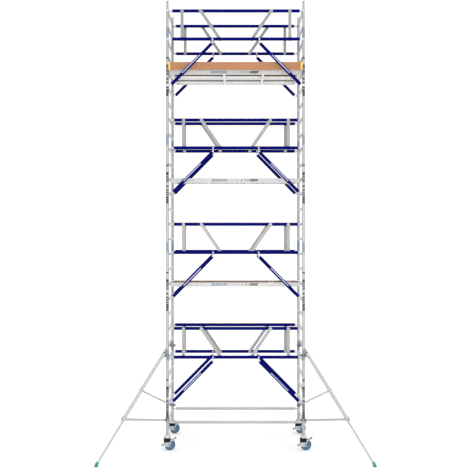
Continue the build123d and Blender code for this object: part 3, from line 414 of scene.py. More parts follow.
class Surface:
    """A material under construction, with short calls for the nodes that it uses."""

    def __init__(self, name, colour, roughness, metallic=0.0, specular=0.5):
        self.material = bpy.data.materials.new(name)
        self.material.use_nodes = True
        self.nodes = self.material.node_tree.nodes
        self.links = self.material.node_tree.links
        self.shader = self.nodes["Principled BSDF"]
        self.shader.inputs["Base Color"].default_value = (*colour, 1)
        self.shader.inputs["Roughness"].default_value = roughness
        self.shader.inputs["Metallic"].default_value = metallic
        self.shader.inputs["Specular IOR Level"].default_value = specular
        self.place = self.nodes.new("ShaderNodeTexCoord").outputs["Object"]
        self.height = None

    def stretch(self, scale):
        node = self.nodes.new("ShaderNodeMapping")
        node.inputs["Scale"].default_value = scale
        self.links.new(self.place, node.inputs["Vector"])
        return node.outputs["Vector"]

    def noise(self, scale, detail=3.0, rough=0.5, vector=None):
        node = self.nodes.new("ShaderNodeTexNoise")
        node.inputs["Scale"].default_value = scale
        node.inputs["Detail"].default_value = detail
        node.inputs["Roughness"].default_value = rough
        self.links.new(vector or self.place, node.inputs["Vector"])
        return node.outputs["Fac"]

    def ramp(self, value, stops):
        node = self.nodes.new("ShaderNodeValToRGB")
        for stop, (position, colour) in zip(node.color_ramp.elements, stops):
            stop.position = position
            stop.color = (*colour, 1)
        self.links.new(value, node.inputs["Fac"])
        return node.outputs["Color"]

    def remap(self, value, low, high, new_low, new_high):
        node = self.nodes.new("ShaderNodeMapRange")
        limits = {"From Min": low, "From Max": high, "To Min": new_low, "To Max": new_high}
        for name, number in limits.items():
            node.inputs[name].default_value = number
        self.links.new(value, node.inputs["Value"])
        return node.outputs["Result"]

    def math(self, kind, first, second=0.0):
        node = self.nodes.new("ShaderNodeMath")
        node.operation = kind
        for index, value in enumerate((first, second)):
            if isinstance(value, (int, float)):
                node.inputs[index].default_value = value
            else:
                self.links.new(value, node.inputs[index])
        return node.outputs["Value"]

    def split(self, vector):
        node = self.nodes.new("ShaderNodeSeparateXYZ")
        self.links.new(vector, node.inputs["Vector"])
        return node.outputs["X"], node.outputs["Y"], node.outputs["Z"]

    def normal(self):
        return self.nodes.new("ShaderNodeNewGeometry").outputs["Normal"]

    def mix(self, factor, first, second):
        node = self.nodes.new("ShaderNodeMix")
        node.data_type = "RGBA"
        for socket, value in zip((node.inputs[6], node.inputs[7]), (first, second)):
            if isinstance(value, tuple):
                socket.default_value = (*value, 1)
            else:
                self.links.new(value, socket)
        self.links.new(factor, node.inputs[0])
        return node.outputs[2]

    def colour(self, value):
        self.links.new(value, self.shader.inputs["Base Color"])

    def roughness(self, value):
        self.links.new(value, self.shader.inputs["Roughness"])

    def bump(self, value, strength, distance):
        node = self.nodes.new("ShaderNodeBump")
        node.inputs["Strength"].default_value = strength
        node.inputs["Distance"].default_value = distance
        self.links.new(value, node.inputs["Height"])
        if self.height:
            self.links.new(self.height, node.inputs["Normal"])
        self.height = node.outputs["Normal"]
        self.links.new(self.height, self.shader.inputs["Normal"])


def shade(colour, factor):
    return tuple(min(1.0, part * factor) for part in colour)


def metal(name, colour, roughness, metallic, streak, spread=0.10, wear=0.5):
    """Mill-finish metal: drawn streaks, cloudy oxide, small dull scuffs."""
    made = Surface(name, colour, roughness, metallic)
    drawn = made.noise(260, 2.0, 0.6, made.stretch(streak))
    clouds = made.noise(7, 4.0, 0.55)
    scuffs = made.noise(48, 5.0, 0.7)
    tone = made.ramp(clouds, ((0.3, shade(colour, 1 - spread)), (0.7, shade(colour, 1 + spread * 0.6))))
    marks = made.remap(scuffs, 0.60, 0.72, 0.0, wear)
    made.colour(made.mix(marks, tone, shade(colour, 0.74)))
    base = made.remap(drawn, 0.2, 0.8, roughness - 0.06, roughness + 0.08)
    made.roughness(made.math("ADD", base, made.math("MULTIPLY", marks, 0.25)))
    made.bump(drawn, 0.18, 0.0004)
    made.bump(scuffs, 0.12, 0.0006)
    return made.material


def thread(name, colour, pitch):
    """Rolled thread of an adjustable leg: rings of lighter crest and darker root, which are a painted
    highlight and painted shade, with greasy patches.
    """
    made = Surface(name, colour, 0.36, 0.55)
    z = made.split(made.place)[2]
    crest = made.math("SINE", made.math("MULTIPLY", z, 2 * math.pi / pitch))
    grease = made.noise(22, 5.0, 0.65)
    # painted shade in the thread roots and painted highlight on the crests, in step with the bump
    tone = made.mix(made.remap(crest, -0.8, 0.6, 0.0, 1.0), shade(colour, 0.45), shade(colour, 1.1))
    made.colour(made.mix(made.remap(grease, 0.55, 0.75, 0.0, 0.5), tone, shade(colour, 0.6)))
    made.roughness(made.remap(grease, 0.3, 0.7, 0.30, 0.50))
    made.bump(crest, 0.7, 0.0012)
    return made.material


def paint(name, colour):
    """Powder coat: fine orange peel, faint chalking and a few rubbed spots."""
    made = Surface(name, colour, 0.60, 0.0, 0.02)
    peel = made.noise(420, 2.0, 0.5)
    chalk = made.noise(5, 4.0, 0.6)
    rub = made.noise(34, 6.0, 0.72)
    tone = made.ramp(chalk, ((0.30, shade(colour, 0.86)), (0.72, shade(colour, 1.20))))
    worn = made.remap(rub, 0.66, 0.74, 0.0, 0.30)
    made.colour(made.mix(worn, tone, (0.006, 0.009, 0.15)))
    made.roughness(made.remap(chalk, 0.3, 0.7, 0.52, 0.68))
    made.bump(peel, 0.22, 0.0003)
    return made.material


def plywood(name, face, under, edge):
    """Resin-faced ply: a raised anti-slip mesh on top, a plain film below, and layered edges."""
    made = Surface(name, face, 0.62, 0.0, 0.15)
    facing = made.split(made.normal())[2]
    z = made.split(made.place)[2]
    cells = made.nodes.new("ShaderNodeTexVoronoi")
    cells.feature = "DISTANCE_TO_EDGE"
    cells.inputs["Scale"].default_value = 1.0
    cells.inputs["Randomness"].default_value = 0.0
    made.links.new(made.stretch((MESH_CELLS, MESH_CELLS, 1)), cells.inputs["Vector"])
    mesh = made.remap(cells.outputs["Distance"], 0.05, 0.16, 1.0, 0.0)
    trodden = made.noise(2.2, 5.0, 0.62)
    dust = made.noise(30, 5.0, 0.7)
    top = made.ramp(trodden, ((0.32, shade(face, 0.80)), (0.70, shade(face, 1.45))))
    top = made.mix(made.remap(dust, 0.55, 0.80, 0.0, 0.35), top, shade(face, 1.9))
    layers = made.math("SINE", made.math("MULTIPLY", z, 2 * math.pi / PLY_LAYER))
    side = made.mix(made.remap(layers, -0.3, 0.3, 0.0, 1.0), edge, shade(edge, 0.62))
    below = made.ramp(trodden, ((0.30, shade(under, 0.88)), (0.72, shade(under, 1.14))))
    looks_up = made.remap(facing, 0.4, 0.6, 0.0, 1.0)
    level = made.remap(made.math("ABSOLUTE", facing), 0.4, 0.6, 0.0, 1.0)
    made.colour(made.mix(level, side, made.mix(looks_up, below, top)))
    made.roughness(made.remap(dust, 0.3, 0.7, 0.50, 0.75))
    made.bump(made.math("MULTIPLY", mesh, looks_up), 0.5, 0.0009)
    return made.material


def board_wood(name, colour):
    """Varnished softwood board with its grain along the board."""
    made = Surface(name, colour, 0.46, 0.0, 0.35)
    warp = made.noise(3.0, 3.0, 0.5, made.stretch((0.8, 9, 9)))
    rings = made.nodes.new("ShaderNodeTexWave")
    rings.wave_type = "BANDS"
    rings.bands_direction = "Z"
    rings.inputs["Scale"].default_value = 9.0
    rings.inputs["Distortion"].default_value = 7.0
    rings.inputs["Detail"].default_value = 3.0
    made.links.new(made.stretch((0.35, 1.6, 1.6)), rings.inputs["Vector"])
    pores = made.noise(90, 3.0, 0.6, made.stretch((0.06, 1, 1)))
    grain = made.mix(rings.outputs["Fac"], shade(colour, 1.10), shade(colour, 0.84))
    patch = made.ramp(warp, ((0.3, shade(colour, 0.90)), (0.7, shade(colour, 1.10))))
    tone = made.mix(made.remap(pores, 0.3, 0.7, 0.25, 0.75), grain, patch)
    made.colour(tone)
    made.roughness(made.remap(pores, 0.3, 0.7, 0.38, 0.55))
    made.bump(pores, 0.25, 0.0005)
    return made.material


def plastic(name, colour, roughness=0.5, specular=0.4):
    """Moulded plastic or rubber: fine grain, faint flow marks and scuffing."""
    made = Surface(name, colour, roughness, 0.0, specular)
    grain = made.noise(220, 3.0, 0.6)
    flow = made.noise(14, 4.0, 0.6)
    made.colour(made.ramp(flow, ((0.3, shade(colour, 0.82)), (0.72, shade(colour, 1.22)))))
    made.roughness(made.remap(flow, 0.3, 0.7, roughness - 0.08, roughness + 0.10))
    made.bump(grain, 0.25, 0.0004)
    return made.material


def film(name, colour):
    """Printed label film, slightly rubbed."""
    made = Surface(name, colour, 0.38, 0.0, 0.35)
    rubbed = made.noise(60, 4.0, 0.65)
    made.colour(made.ramp(rubbed, ((0.35, shade(colour, 0.92)), (0.75, shade(colour, 1.12)))))
    made.roughness(made.remap(rubbed, 0.3, 0.7, 0.32, 0.48))
    made.bump(rubbed, 0.10, 0.0002)
    return made.material


MATERIALS = {
    "aluminium_tube": metal("aluminium_tube", (0.285, 0.286, 0.286), 0.42, 0.35, (1, 1, 0.05)),
    "rung": metal("rung", (0.500, 0.500, 0.500), 0.38, 0.40, (1, 0.05, 1)),
    "stabiliser": metal("stabiliser_tube", (0.350, 0.355, 0.355), 0.40, 0.40, (1, 1, 0.1)),
    "deck_aluminium": metal("deck_aluminium", (0.325, 0.318, 0.314), 0.48, 0.25, (0.05, 1, 1), 0.06, 0.3),
    # lit copy of the deck aluminium: painted light for the shaded faces between the side beams
    "deck_inside_painted_light": metal("deck_inside_painted_light", (0.700, 0.690, 0.672), 0.50, 0.05, (0.05, 1, 1), 0.05, 0.3),
    "strut": metal("strut_aluminium", (0.208, 0.209, 0.211), 0.46, 0.25, (0.3, 1, 0.3)),
    "claw": metal("cast_claw", (0.440, 0.440, 0.470), 0.52, 0.30, (1, 1, 1), 0.12, 0.35),
    "nut": metal("cast_nut", (0.370, 0.372, 0.362), 0.50, 0.35, (1, 1, 1), 0.12, 0.35),
    "zinc": metal("zinc_plate", (0.330, 0.355, 0.380), 0.36, 0.50, (1, 1, 1), 0.14),
    "thread": thread("leg_thread", (0.330, 0.345, 0.360), THREAD_PITCH),
    "coupler": metal("coupler_steel", (0.150, 0.155, 0.165), 0.45, 0.40, (1, 1, 1), 0.16),
    "spring": metal("spring_steel", (0.290, 0.295, 0.305), 0.32, 0.60, (1, 1, 1)),
    "weld": metal("weld_bead", (0.480, 0.480, 0.475), 0.34, 0.50, (1, 1, 1), 0.2),
    "blue": paint("blue_paint", (0.0009, 0.0020, 0.088)),
    "plywood": plywood("plywood", (0.100, 0.044, 0.024), (0.042, 0.034, 0.028), (0.26, 0.17, 0.10)),
    "toe_board": board_wood("toe_board", (0.285, 0.124, 0.052)),
    "yellow": plastic("yellow_plastic", (0.55, 0.42, 0.08)),
    "tyre": plastic("tyre_blue", (0.024, 0.070, 0.125), 0.46, 0.20),
    "hub": plastic("hub_blue", (0.060, 0.135, 0.215), 0.42, 0.25),
    "foot": plastic("foot_rubber", (0.048, 0.180, 0.205), 0.62, 0.20),
    "black": plastic("black_plastic", (0.005, 0.006, 0.007), 0.55, 0.10),
    # dark print of the labels, also used as painted shade in the stabiliser pin holes
    "ink_and_hole_shade": film("label_ink_and_hole_shade", (0.010, 0.010, 0.014)),
    "white_film": film("white_film", (0.34, 0.38, 0.52)),
    "tape": film("level_tape", (0.140, 0.180, 0.220)),
    "light_ink": film("light_ink", (0.040, 0.085, 0.125)),
}


# ---- finishes of the CAD nodes ------------------------------------------------------

def dress(node, *names):
    """Gives a CAD node its finished materials."""
    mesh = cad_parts[node].data
    mesh.materials.clear()
    for name in names:
        mesh.materials.append(MATERIALS[name])


def dress_where(node, test, first, second):
    """Gives a CAD node two finishes: the second where test of a face's middle is true."""
    dress(node, first, second)
    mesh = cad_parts[node].data
    mesh.polygons.foreach_set("material_index", [int(test(face.center)) for face in mesh.polygons])


def between_uprights(point):
    return abs(point.y) < HALF_WIDTH - TUBE_RADIUS


def at_coupler(point):
    """Whether a point of a stabiliser belongs to the couplers round its upright."""
    return math.hypot(abs(point.x) - HALF_LENGTH, abs(point.y) - HALF_WIDTH) < COUPLER_REACH


def dress_deck(name):
    """Mill-finish faces between the side beams are made brighter than the outside: painted light on faces
    that lie in shade under the platform.
    """
    low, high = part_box(f"deck_frame_{name}")

    def inside(point):
        return low.y + INSIDE_FROM < point.y < high.y - INSIDE_FROM

    dress_where(f"deck_frame_{name}", inside, "deck_aluminium", "deck_inside_painted_light")


def dress_frame():
    for level in range(1, LEVELS + 1):
        for side in ("left", "right"):
            dress_where(f"frame_{side}_{level}", between_uprights, "aluminium_tube", "rung")
        for side in ("front", "rear"):
            dress(f"guardrail_{side}_{level}", "blue")
    for name in DECKS:
        dress_deck(name)
    for name in HATCHES:
        dress(f"hatch_{name}", "plywood")
    dress("deck_boards", "plywood")
    dress("toe_boards", "toe_board")
    dress("toe_board_clips", "yellow")
    dress("base_braces", "aluminium_tube")
    dress("guardrail_struts", "strut")
    dress("guardrail_claws", "claw")
    dress("frame_clips", "spring")
    dress("leg_nuts", "nut")
    for corner in CORNERS:
        dress(f"castor_leg_{corner}", "thread")
        dress(f"castor_fork_{corner}", "zinc")
        dress(f"castor_wheel_{corner}", "tyre")
        dress(f"castor_brake_{corner}", "zinc")
        dress_where(f"stabiliser_brace_{corner}", at_coupler, "stabiliser", "coupler")
        dress(f"stabiliser_leg_{corner}", "stabiliser")
        dress(f"stabiliser_foot_{corner}", "foot")


# ---- end frames: welds and labels -----------------------------------------------------

def weld_path(x, side, rung_z):
    """The seam where a rung meets an upright, as a closed row of points."""
    path = []
    for up, across in circle(RUNG_RADIUS, WELD_POINTS):
        depth = math.sqrt(TUBE_RADIUS ** 2 - across ** 2)
        path.append((x + across, side * (HALF_WIDTH - depth), rung_z + up))
    return path


def make_welds():
    for side_name, x in (("left", -HALF_LENGTH), ("right", HALF_LENGTH)):
        for level in range(LEVELS):
            shape = Shape()
            bottom = FRAME_BOTTOM + level * LEVEL_HEIGHT + FIRST_RUNG
            for rung in range(RUNGS):
                for side in (-1, 1):
                    path = weld_path(x, side, bottom + rung * RUNG_PITCH)
                    shape.sweep(path, WELD_RADIUS, BEAD_SIDES)
            shape.piece(f"welds_{side_name}_{level + 1}", "tower", [MATERIALS["weld"]])


def slanted_marks(shape, axis, facing, turn, low):
    """A column of plain slanted bars in uneven groups, which spell nothing."""
    z = low
    start = facing + turn - MARKS_WRAP / 2
    sweep = (start, start + MARKS_WRAP)
    for length, gap in MARK_BARS:
        shape.wrap(axis, TUBE_RADIUS + LABEL_LIFT, sweep, (z, z + length), lean=MARKS_LEAN)
        z += length + gap


def make_labels():
    marks = Shape()
    tapes = Shape()
    for corner in CORNERS:
        axis = corner_axis(corner)
        facing = -90 if axis[1] < 0 else 90
        for level in range(LEVELS):
            drop = level * LEVEL_HEIGHT
            turn = math.copysign(MARKS_TURN, axis[0] * -axis[1])
            slanted_marks(marks, axis, facing, turn, MARKS_LOW - drop)
            heights = (TAPE_LOW - drop, TAPE_LOW - drop + TAPE_HEIGHT)
            tapes.wrap(axis, TUBE_RADIUS + LABEL_LIFT, (0, TAPE_SWEEP), heights)
    marks.piece("upright_marks", "tower", [MATERIALS["ink_and_hole_shade"]])
    tapes.piece("level_tapes", "tower", [MATERIALS["tape"]])


# ---- guardrails: rivets and brace labels ----------------------------------------------

def rivet(shape, place, radius=RIVET_RADIUS, height=RIVET_HEIGHT):
    """A domed head on a thin washer, standing on its place along local Z."""
    profile = ((0, -0.001), (radius * 1.45, -0.001), (radius * 1.45, 0.0012), (radius, 0.0013),
               (radius * 0.92, height * 0.6), (radius * 0.62, height * 0.9), (0, height))
    shape.lathe(profile, RIVET_SIDES, place)


def nearest_rung(z):
    """Height of the rung closest to a height."""
    first = FRAME_BOTTOM + FIRST_RUNG
    return first + round((z - first) / RUNG_PITCH) * RUNG_PITCH


def guardrail_lines(side, level):
    """Depth and height of the two rails of one guardrail frame, which way is out, and its middle."""
    low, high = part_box(f"guardrail_{side}_{level}")
    outward = -1 if side == "front" else 1
    top_z = high.z - RAIL_RADIUS
    low_z = top_z - RAIL_DROP
    top_y = (high.y - RAIL_RADIUS) if outward < 0 else (low.y + RAIL_RADIUS)
    low_y = (low.y + RAIL_RADIUS) if outward < 0 else (high.y - RAIL_RADIUS)
    shift = (low.x + high.x) / 2
    return top_y, top_z, low_y, low_z, outward, shift


def make_guardrail_details():
    heads = Shape()
    films = Shape()
    for level in range(1, LEVELS + 1):
        for side in ("front", "rear"):
            top_y, top_z, low_y, low_z, outward, shift = guardrail_lines(side, level)
            plane_y = (top_y + low_y) / 2
            for x_top, x_low in STRUT_ENDS:
                for hand in (-1, 1):
                    front = at(shift + hand * x_top, plane_y + outward * STRUT_FACE, top_z)
                    rivet(heads, front @ turned("X", -90 * outward))
                    back = at(shift + hand * x_low, plane_y - outward * STRUT_FACE, low_z)
                    rivet(heads, back @ turned("X", 90 * outward))
            for hand in (-1, 1):
                brace_label(films, hand, shift, low_y, low_z, outward)
    heads.piece("guardrail_rivets", "tower", [MATERIALS["zinc"]])
    films.piece("brace_labels", "tower", [MATERIALS["white_film"]])


def brace_label(shape, hand, shift, y, low_z, outward):
    """A narrow light strip along the outer face of a brace."""
    top = Vector((shift + hand * BRACE_TOP[0], y, low_z - BRACE_TOP[1]))
    foot = Vector((shift + hand * BRACE_FOOT[0], y, low_z - BRACE_FOOT[1]))
    along = (foot - top).normalized()
    radius = RAIL_RADIUS + LABEL_LIFT
    start, end = [top + (foot - top) * share for share in STRIP_SHARES]
    out = Vector((0, outward, 0))
    up = along.cross(out).normalized()
    if up.z < 0:
        up = -up
    steps = STRIP_FACETS
    points = []
    for layer in (radius, radius + LABEL_FILM):
        for spot in (start, end):
            for step in range(steps + 1):
                angle = math.radians(STRIP_FROM + STRIP_SWEEP * step / steps)
                points.append(spot + layer * (out * math.cos(angle) + up * math.sin(angle)))
    row = steps + 1
    faces = []
    for step in range(steps):
        faces.append((2 * row + step, 2 * row + step + 1, 3 * row + step + 1, 3 * row + step))
        faces.append((step + 1, step, row + step, row + step + 1))
        faces.append((step, step + 1, 2 * row + step + 1, 2 * row + step))
        faces.append((row + step + 1, row + step, 3 * row + step, 3 * row + step + 1))
    for index in (0, steps):
        faces.append((index, 2 * row + index, 3 * row + index, row + index))
    shape.add(points, faces)


# ---- platforms and hooks: beam marks, rivets, screws, latches --------------------------

def beam_marks(shape, face_y, outward, middle_z):
    """Rows of plain slanted blocks on the face of a side beam: two pale ones, then three bold ones."""
    place = at(0, face_y + outward * LABEL_LIFT, middle_z) @ turned("X", 90)
    for start, end, half, bar, gap, tint in BEAM_MARKS:
        lean = BEAM_MARKS_LEAN * half
        x = start
        while x < end:
            outline = ((x - lean, -half), (x + bar - lean, -half), (x + bar + lean, half), (x + lean, half))
            shape.prism(outline, -LABEL_FILM / 2, LABEL_FILM / 2, place, tint)
            x += bar + gap


def make_deck_details():
    marks = Shape()
    screws = Shape()
    for name in DECKS:
        low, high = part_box(f"deck_frame_{name}")
        beam_top = high.z
        if name != "top_rear":
            beam_top -= HINGE_RISE
        for face_y, outward in ((low.y, -1), (high.y, 1)):
            beam_marks(marks, face_y, outward, beam_top - BEAM_MARKS_DROP)
            for x in row_of(*BEAM_RIVETS):
                place = at(x, face_y, beam_top - BEAM_RIVET_DROP) @ turned("X", -90 * outward)
                rivet(screws, place, *BEAM_RIVET)
    marks.piece("beam_marks", "tower", [MATERIALS["light_ink"], MATERIALS["ink_and_hole_shade"]])
    screws.piece("beam_rivets", "tower", [MATERIALS["zinc"]])


def make_board_screws():
    """Screws that hold the boards down to the side beams."""
    shape = Shape()
    for name in DECKS:
        low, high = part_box(f"deck_frame_{name}")
        hatch = name if name in HATCHES else "top"
        board_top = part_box(f"hatch_{hatch}")[1].z - HATCH_LEAF
        for y in (low.y + SCREW_INSET, high.y - SCREW_INSET):
            for x in row_of(*BOARD_SCREWS):
                rivet(shape, at(x, y, board_top - BOARD_SCREW_SINK), *BOARD_SCREW)
    shape.piece("board_screws", "tower", [MATERIALS["zinc"]])


def make_hatch_latches():
    """A turn latch on a round plate near the free edge of each hatch."""
    for name in HATCHES:
        low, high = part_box(f"hatch_{name}")
        place = at((low.x + high.x) / 2, high.y - LATCH_INSET, high.z - HATCH_LEAF)
        latch = Shape()
        latch.lathe(LATCH_PLATE, TUBE_SIDES, place)
        latch.box(*LATCH_BAR, place @ turned("Z", LATCH_TURN), 0, LATCH_BEVEL)
        latch.piece(f"hatch_latch_{name}", f"hatch_{name}", [MATERIALS["black"]])


def hook_latch(shape, side, y, z, radius):
    """A curved spring tongue that closes the mouth of a hook under its rung."""
    inner = radius + TONGUE_GAP
    outer = inner + TONGUE_THICK
    angles = [math.radians(TONGUE_FROM - TONGUE_STEP * step) for step in range(TONGUE_POINTS)]
    outline = [(side * inner * math.cos(angle), inner * math.sin(angle)) for angle in angles]
    outline += [(side * outer * math.cos(angle), outer * math.sin(angle)) for angle in reversed(angles)]
    place = at(side * HALF_LENGTH, y, z) @ turned("X", 90)
    shape.prism(outline, -TONGUE_HALF, TONGUE_HALF, place)
    face = at(side * (HALF_LENGTH + outer - TONGUE_RIVET_SINK), y, z)
    rivet(shape, face @ turned("Y", 90 * side), *TONGUE_RIVET)


def make_hook_latches():
    shape = Shape()
    for level in range(1, LEVELS):
        for side in ("front", "rear"):
            top_y, top_z, low_y, low_z = guardrail_lines(side, level)[:4]
            for hand in (-1, 1):
                hook_latch(shape, hand, top_y, nearest_rung(top_z), CLAW_RADIUS)
                hook_latch(shape, hand, low_y, nearest_rung(low_z), CLAW_RADIUS)
    for name in DECKS:
        low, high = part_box(f"deck_frame_{name}")
        rung_z = nearest_rung((low.z + high.z) / 2)
        for y in (low.y + HOOK_INSET, high.y - HOOK_INSET):
            for hand in (-1, 1):
                hook_latch(shape, hand, y, rung_z, DECK_HOOK_RADIUS)
    shape.piece("hook_latches", "tower", [MATERIALS["spring"]])


# ---- stabilisers --------------------------------------------------------------------------

def stabiliser_frame(corner):
    """Place of the grip on the outer tube, with local Z down the tube towards the foot."""
    x, y = corner_axis(corner)
    outward = Vector((math.copysign(1, x), math.copysign(1, y), 0)).normalized()
    foot = outward * STABILISER_REACH + Vector((x, y, STABILISER_FOOT / 2))
    grip = outward * STABILISER_OFFSET + Vector((x, y, TOP_COUPLER))
    down = (foot - grip).normalized()
    side = Vector((0, 0, 1)).cross(outward)
    turn = Matrix((side.cross(down), side, down)).transposed().to_4x4()
    return at(*grip) @ turn


def stabiliser_cap(shape, place):
    """Plug over the upper end of the outer tube."""
    skin = OUTER_TUBE + TUBE_FIT
    low, turn, bottom, floor = CAP_STEPS
    profile = [(0, low), (OUTER_TUBE - CAP_CHAMFER, low), (OUTER_TUBE + CAP_LIP, turn),
               (OUTER_TUBE + CAP_LIP, bottom), (skin, bottom), (skin, floor), (0, floor)]
    shape.lathe(profile, TUBE_SIDES, place, 0)


def stabiliser_sleeve(shape, place):
    """Sleeve round the lower end of the outer tube, which narrows to guide the inner one."""
    skin = OUTER_TUBE + TUBE_FIT
    throat = INNER_TUBE + THROAT_FIT
    start, shoulder, stop, lip = [OUTER_TUBE_END + step for step in SLEEVE_STEPS]
    profile = [(skin, start), (OUTER_TUBE + SLEEVE_THIN, start), (OUTER_TUBE + SLEEVE_WALL, shoulder),
               (OUTER_TUBE + SLEEVE_WALL, lip), (throat, lip), (throat, stop), (skin, stop)]
    shape.lathe(profile, TUBE_SIDES, place, 2)


def stabiliser_lock(shape, place):
    """Lock pin through the sleeve, with its pull ring."""
    lock = place @ at(0, 0, OUTER_TUBE_END - LOCK_RISE) @ turned("X", 90)
    tail, neck, head = -OUTER_TUBE - LOCK_STEPS[0], OUTER_TUBE + LOCK_STEPS[1], OUTER_TUBE + LOCK_STEPS[2]
    profile = [(0, tail), (LOCK_PIN, tail), (LOCK_PIN, neck), (LOCK_HEAD, neck), (LOCK_HEAD, head), (0, head)]
    shape.lathe(profile, HOLE_SIDES, lock, 1)
    hang = (neck + head) / 2
    ring = [lock @ Vector((x, y - RING_RADIUS, hang)) for x, y in circle(RING_RADIUS, RING_POINTS)]
    shape.sweep(ring, RING_WIRE, BEAD_SIDES, 1)


def make_pin_holes(corner, place):
    """Black discs down both sides of the inner tube, where the lock pin can drop in: painted shade for the
    dark inside of each hole.
    """
    holes = Shape()
    low, high = INNER_TUBE - PIN_HOLE_DEPTH, INNER_TUBE + TUBE_FIT
    distance = OUTER_TUBE_END + PIN_HOLES_FROM
    while distance < INNER_TUBE_END - PIN_HOLES_TO:
        for hand in (-90, 90):
            spot = place @ at(0, 0, distance) @ turned("X", hand)
            holes.lathe([(0, low), (PIN_HOLE, low), (PIN_HOLE, high), (0, high)], HOLE_SIDES, spot)
        distance += PIN_HOLE_PITCH
    # the discs take the dark ink as painted shade for the inside of the holes
    holes.piece(f"stabiliser_pin_holes_{corner}", f"stabiliser_leg_{corner}", [MATERIALS["ink_and_hole_shade"]])


def make_stabiliser_details(corner):
    place = stabiliser_frame(corner)
    fixed = Shape()
    stabiliser_cap(fixed, place)
    stabiliser_sleeve(fixed, place)
    stabiliser_lock(fixed, place)
    bolts_on_couplers(fixed, corner)
    fixed.piece(f"stabiliser_fittings_{corner}", f"stabiliser_{corner}",
                [MATERIALS["black"], MATERIALS["zinc"], MATERIALS["stabiliser"]])
    make_pin_holes(corner, place)


def bolts_on_couplers(shape, corner):
    """Hexagon heads on each lug, and the fitting that joins the strut to the low one."""
    x, y = corner_axis(corner)
    heading = math.degrees(math.atan2(y, x))
    upright = at(x, y, 0) @ turned("Z", heading)
    for distance, z in COUPLER_BOLTS:
        bolt = upright @ at(distance, 0, z) @ turned("X", 90)
        for hand in (-1, 1):
            low, high = sorted((hand * (COUPLER_HALF - BOLT_SINK), hand * (COUPLER_HALF + BOLT_HEIGHT)))
            shape.prism(circle(BOLT_CIRCLE, HEXAGON), low, high, bolt, 1)
    fitting = upright @ at(FITTING_START, 0, LOW_COUPLER) @ turned("Y", 90 - STRUT_RISE)
    profile = [(0, 0), (FITTING_RADIUS, 0), (FITTING_RADIUS, FITTING_LENGTH), (0, FITTING_LENGTH)]
    shape.lathe(profile, FITTING_SIDES, fitting, 1)


# ---- castors ----------------------------------------------------------------------------

def wheel_spot(corner):
    x, y = corner_axis(corner)
    return at(x + WHEEL_TRAIL, y, WHEEL_RADIUS) @ turned("X", 90)


def make_wheel(corner):
    """Moulded tyre on a webbed hub, with a bearing boss in the middle."""
    shape = Shape()
    place = wheel_spot(corner)
    for profile, steps, tint in WHEEL_RINGS:
        shape.lathe(profile, steps, place, tint)
    for index in range(SPOKES):
        shape.box(*SPOKE, place @ turned("Z", 360 / SPOKES * index), 1, SPOKE_BEVEL)
    wheel = shape.piece(f"wheel_{corner}_moulded", f"wheel_{corner}",
                        [MATERIALS["tyre"], MATERIALS["hub"], MATERIALS["zinc"]])
    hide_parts(f"castor_wheel_{corner}")


def make_shroud(corner):
    """Black cover over the swivel head, open to front and back for the brake arms."""
    shape = Shape()
    x, y = corner_axis(corner)
    for side in (-1, 1):
        inner, outer = sorted(side * edge for edge in SHROUD_WALL)
        shape.prism(SHROUD_SIDE, inner, outer, at(x, y, 0) @ turned("X", 90))
    shape.box(*SHROUD_BACK, at(x, y, 0), 0, SHROUD_BEVEL)
    bottom, top = SHROUD_LIP_HEIGHTS
    for low_x, high_x in SHROUD_LIPS:
        corners = (low_x, -SHROUD_LIP_HALF, bottom), (high_x, SHROUD_LIP_HALF, top)
        shape.box(*corners, at(x, y, 0), 0, SHROUD_BEVEL)
    shape.piece(f"castor_shroud_{corner}", f"castor_{corner}", [MATERIALS["black"]])


def make_pedal_treads(corner):
    """Ribbed black sleeves on both ends of the brake pedal."""
    shape = Shape()
    x, y = corner_axis(corner)
    profile = [(TREAD_BORE, -TREAD_HALF)]
    for index in range(TREAD_RIBS):
        z = -TREAD_HALF + 2 * TREAD_HALF * index / (TREAD_RIBS - 1)
        profile.append((TREAD_CREST if index % 2 else TREAD_ROOT, z))
    profile.append((TREAD_BORE, TREAD_HALF))
    for end_x, end_z in TREAD_ENDS:
        shape.lathe(profile, TREAD_SIDES, at(x + end_x, y, end_z) @ turned("X", 90))
    shape.piece(f"pedal_treads_{corner}", f"brake_{corner}", [MATERIALS["black"]])


def make_axle_nuts(corner):
    """Hexagon nuts on both ends of the axle, and a washer under each."""
    shape = Shape()
    place = wheel_spot(corner)
    bore, rim = AXLE_WASHER
    for side in (-1, 1):
        low, high = sorted(side * edge for edge in AXLE_NUT_SPAN)
        inner = low if side > 0 else high - AXLE_WASHER_THICK
        outer = inner + AXLE_WASHER_THICK
        shape.lathe([(bore, inner), (rim, inner), (rim, outer), (bore, outer)], FITTING_SIDES, place, 1)
        shape.prism(circle(AXLE_NUT, HEXAGON), low, high, place)
    shape.piece(f"axle_nuts_{corner}", f"castor_{corner}", [MATERIALS["zinc"], MATERIALS["black"]])


def make_castors():
    for corner in CORNERS:
        make_wheel(corner)
        make_shroud(corner)
        make_pedal_treads(corner)
        make_axle_nuts(corner)


# ---- stage ---------------------------------------------------------------------------------

def make_floor():
    mesh = bpy.data.meshes.new("floor")
    edge = FLOOR_REACH
    corners = [(-edge, -edge, 0), (edge, -edge, 0), (edge, edge, 0), (-edge, edge, 0)]
    mesh.from_pydata(corners, [], [(0, 1, 2, 3)])
    floor = bpy.data.objects.new("floor", mesh)
    bpy.context.scene.collection.objects.link(floor)
    dark, light = FLOOR_TONES
    made = Surface("floor", (dark, dark, dark), 0.9, 0.0, 0.0)
    grain = made.noise(3.0, 3.0, 0.5)
    made.colour(made.ramp(grain, ((0.3, (dark, dark, dark)), (0.7, (light, light, light)))))
    mesh.materials.append(made.material)


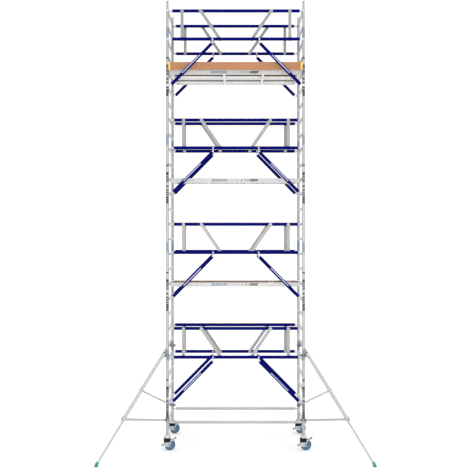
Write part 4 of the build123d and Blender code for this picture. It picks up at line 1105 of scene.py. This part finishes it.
def make_sky():
    """White studio light that comes mostly from overhead and fades towards the horizon."""
    world = bpy.data.worlds.new("studio")
    world.use_nodes = True
    nodes = world.node_tree.nodes
    links = world.node_tree.links
    background = nodes["Background"]
    background.inputs["Color"].default_value = (1.0, 1.0, 1.0, 1)
    direction = nodes.new("ShaderNodeTexCoord").outputs["Generated"]
    split = nodes.new("ShaderNodeSeparateXYZ")
    strength = nodes.new("ShaderNodeMapRange")
    strength.inputs["From Min"].default_value = 0.0
    strength.inputs["From Max"].default_value = 1.0
    strength.inputs["To Min"].default_value = HORIZON_LIGHT
    strength.inputs["To Max"].default_value = OVERHEAD_LIGHT
    links.new(direction, split.inputs["Vector"])
    links.new(split.outputs["Z"], strength.inputs["Value"])
    links.new(strength.outputs["Result"], background.inputs["Strength"])
    bpy.context.scene.world = world


def make_panel(name, place, power, size):
    """A soft rectangular lamp that faces the middle of the tower."""
    lamp = bpy.data.lights.new(name, "AREA")
    lamp.shape = "RECTANGLE"
    lamp.size, lamp.size_y = size
    lamp.energy = power
    panel = bpy.data.objects.new(name, lamp)
    panel.location = place
    towards = Vector((0, 0, TOWER_MIDDLE)) - Vector(place)
    panel.rotation_euler = towards.to_track_quat("-Z", "Y").to_euler()
    bpy.context.scene.collection.objects.link(panel)


def make_light():
    make_sky()
    for name, place, power, size in PANELS:
        make_panel(name, place, power, size)


def make_camera():
    """Level camera at half the tower's height, looking along +Y."""
    camera = bpy.data.cameras.new("camera")
    camera.lens = CAMERA_LENS
    camera.sensor_width = CAMERA_SENSOR
    camera.shift_x, camera.shift_y = CAMERA_SHIFT
    camera.clip_end = CAMERA_SIGHT
    view = bpy.data.objects.new("camera", camera)
    view.location = CAMERA_PLACE
    view.rotation_euler = (math.radians(90), 0, 0)
    bpy.context.scene.collection.objects.link(view)
    bpy.context.scene.camera = view


bpy.context.scene.view_settings.view_transform = "Standard"
make_camera()
make_light()
make_floor()
dress_frame()
make_welds()
make_labels()
make_guardrail_details()
make_deck_details()
make_board_screws()
make_hatch_latches()
make_hook_latches()
for corner_name in CORNERS:
    make_stabiliser_details(corner_name)
make_castors()
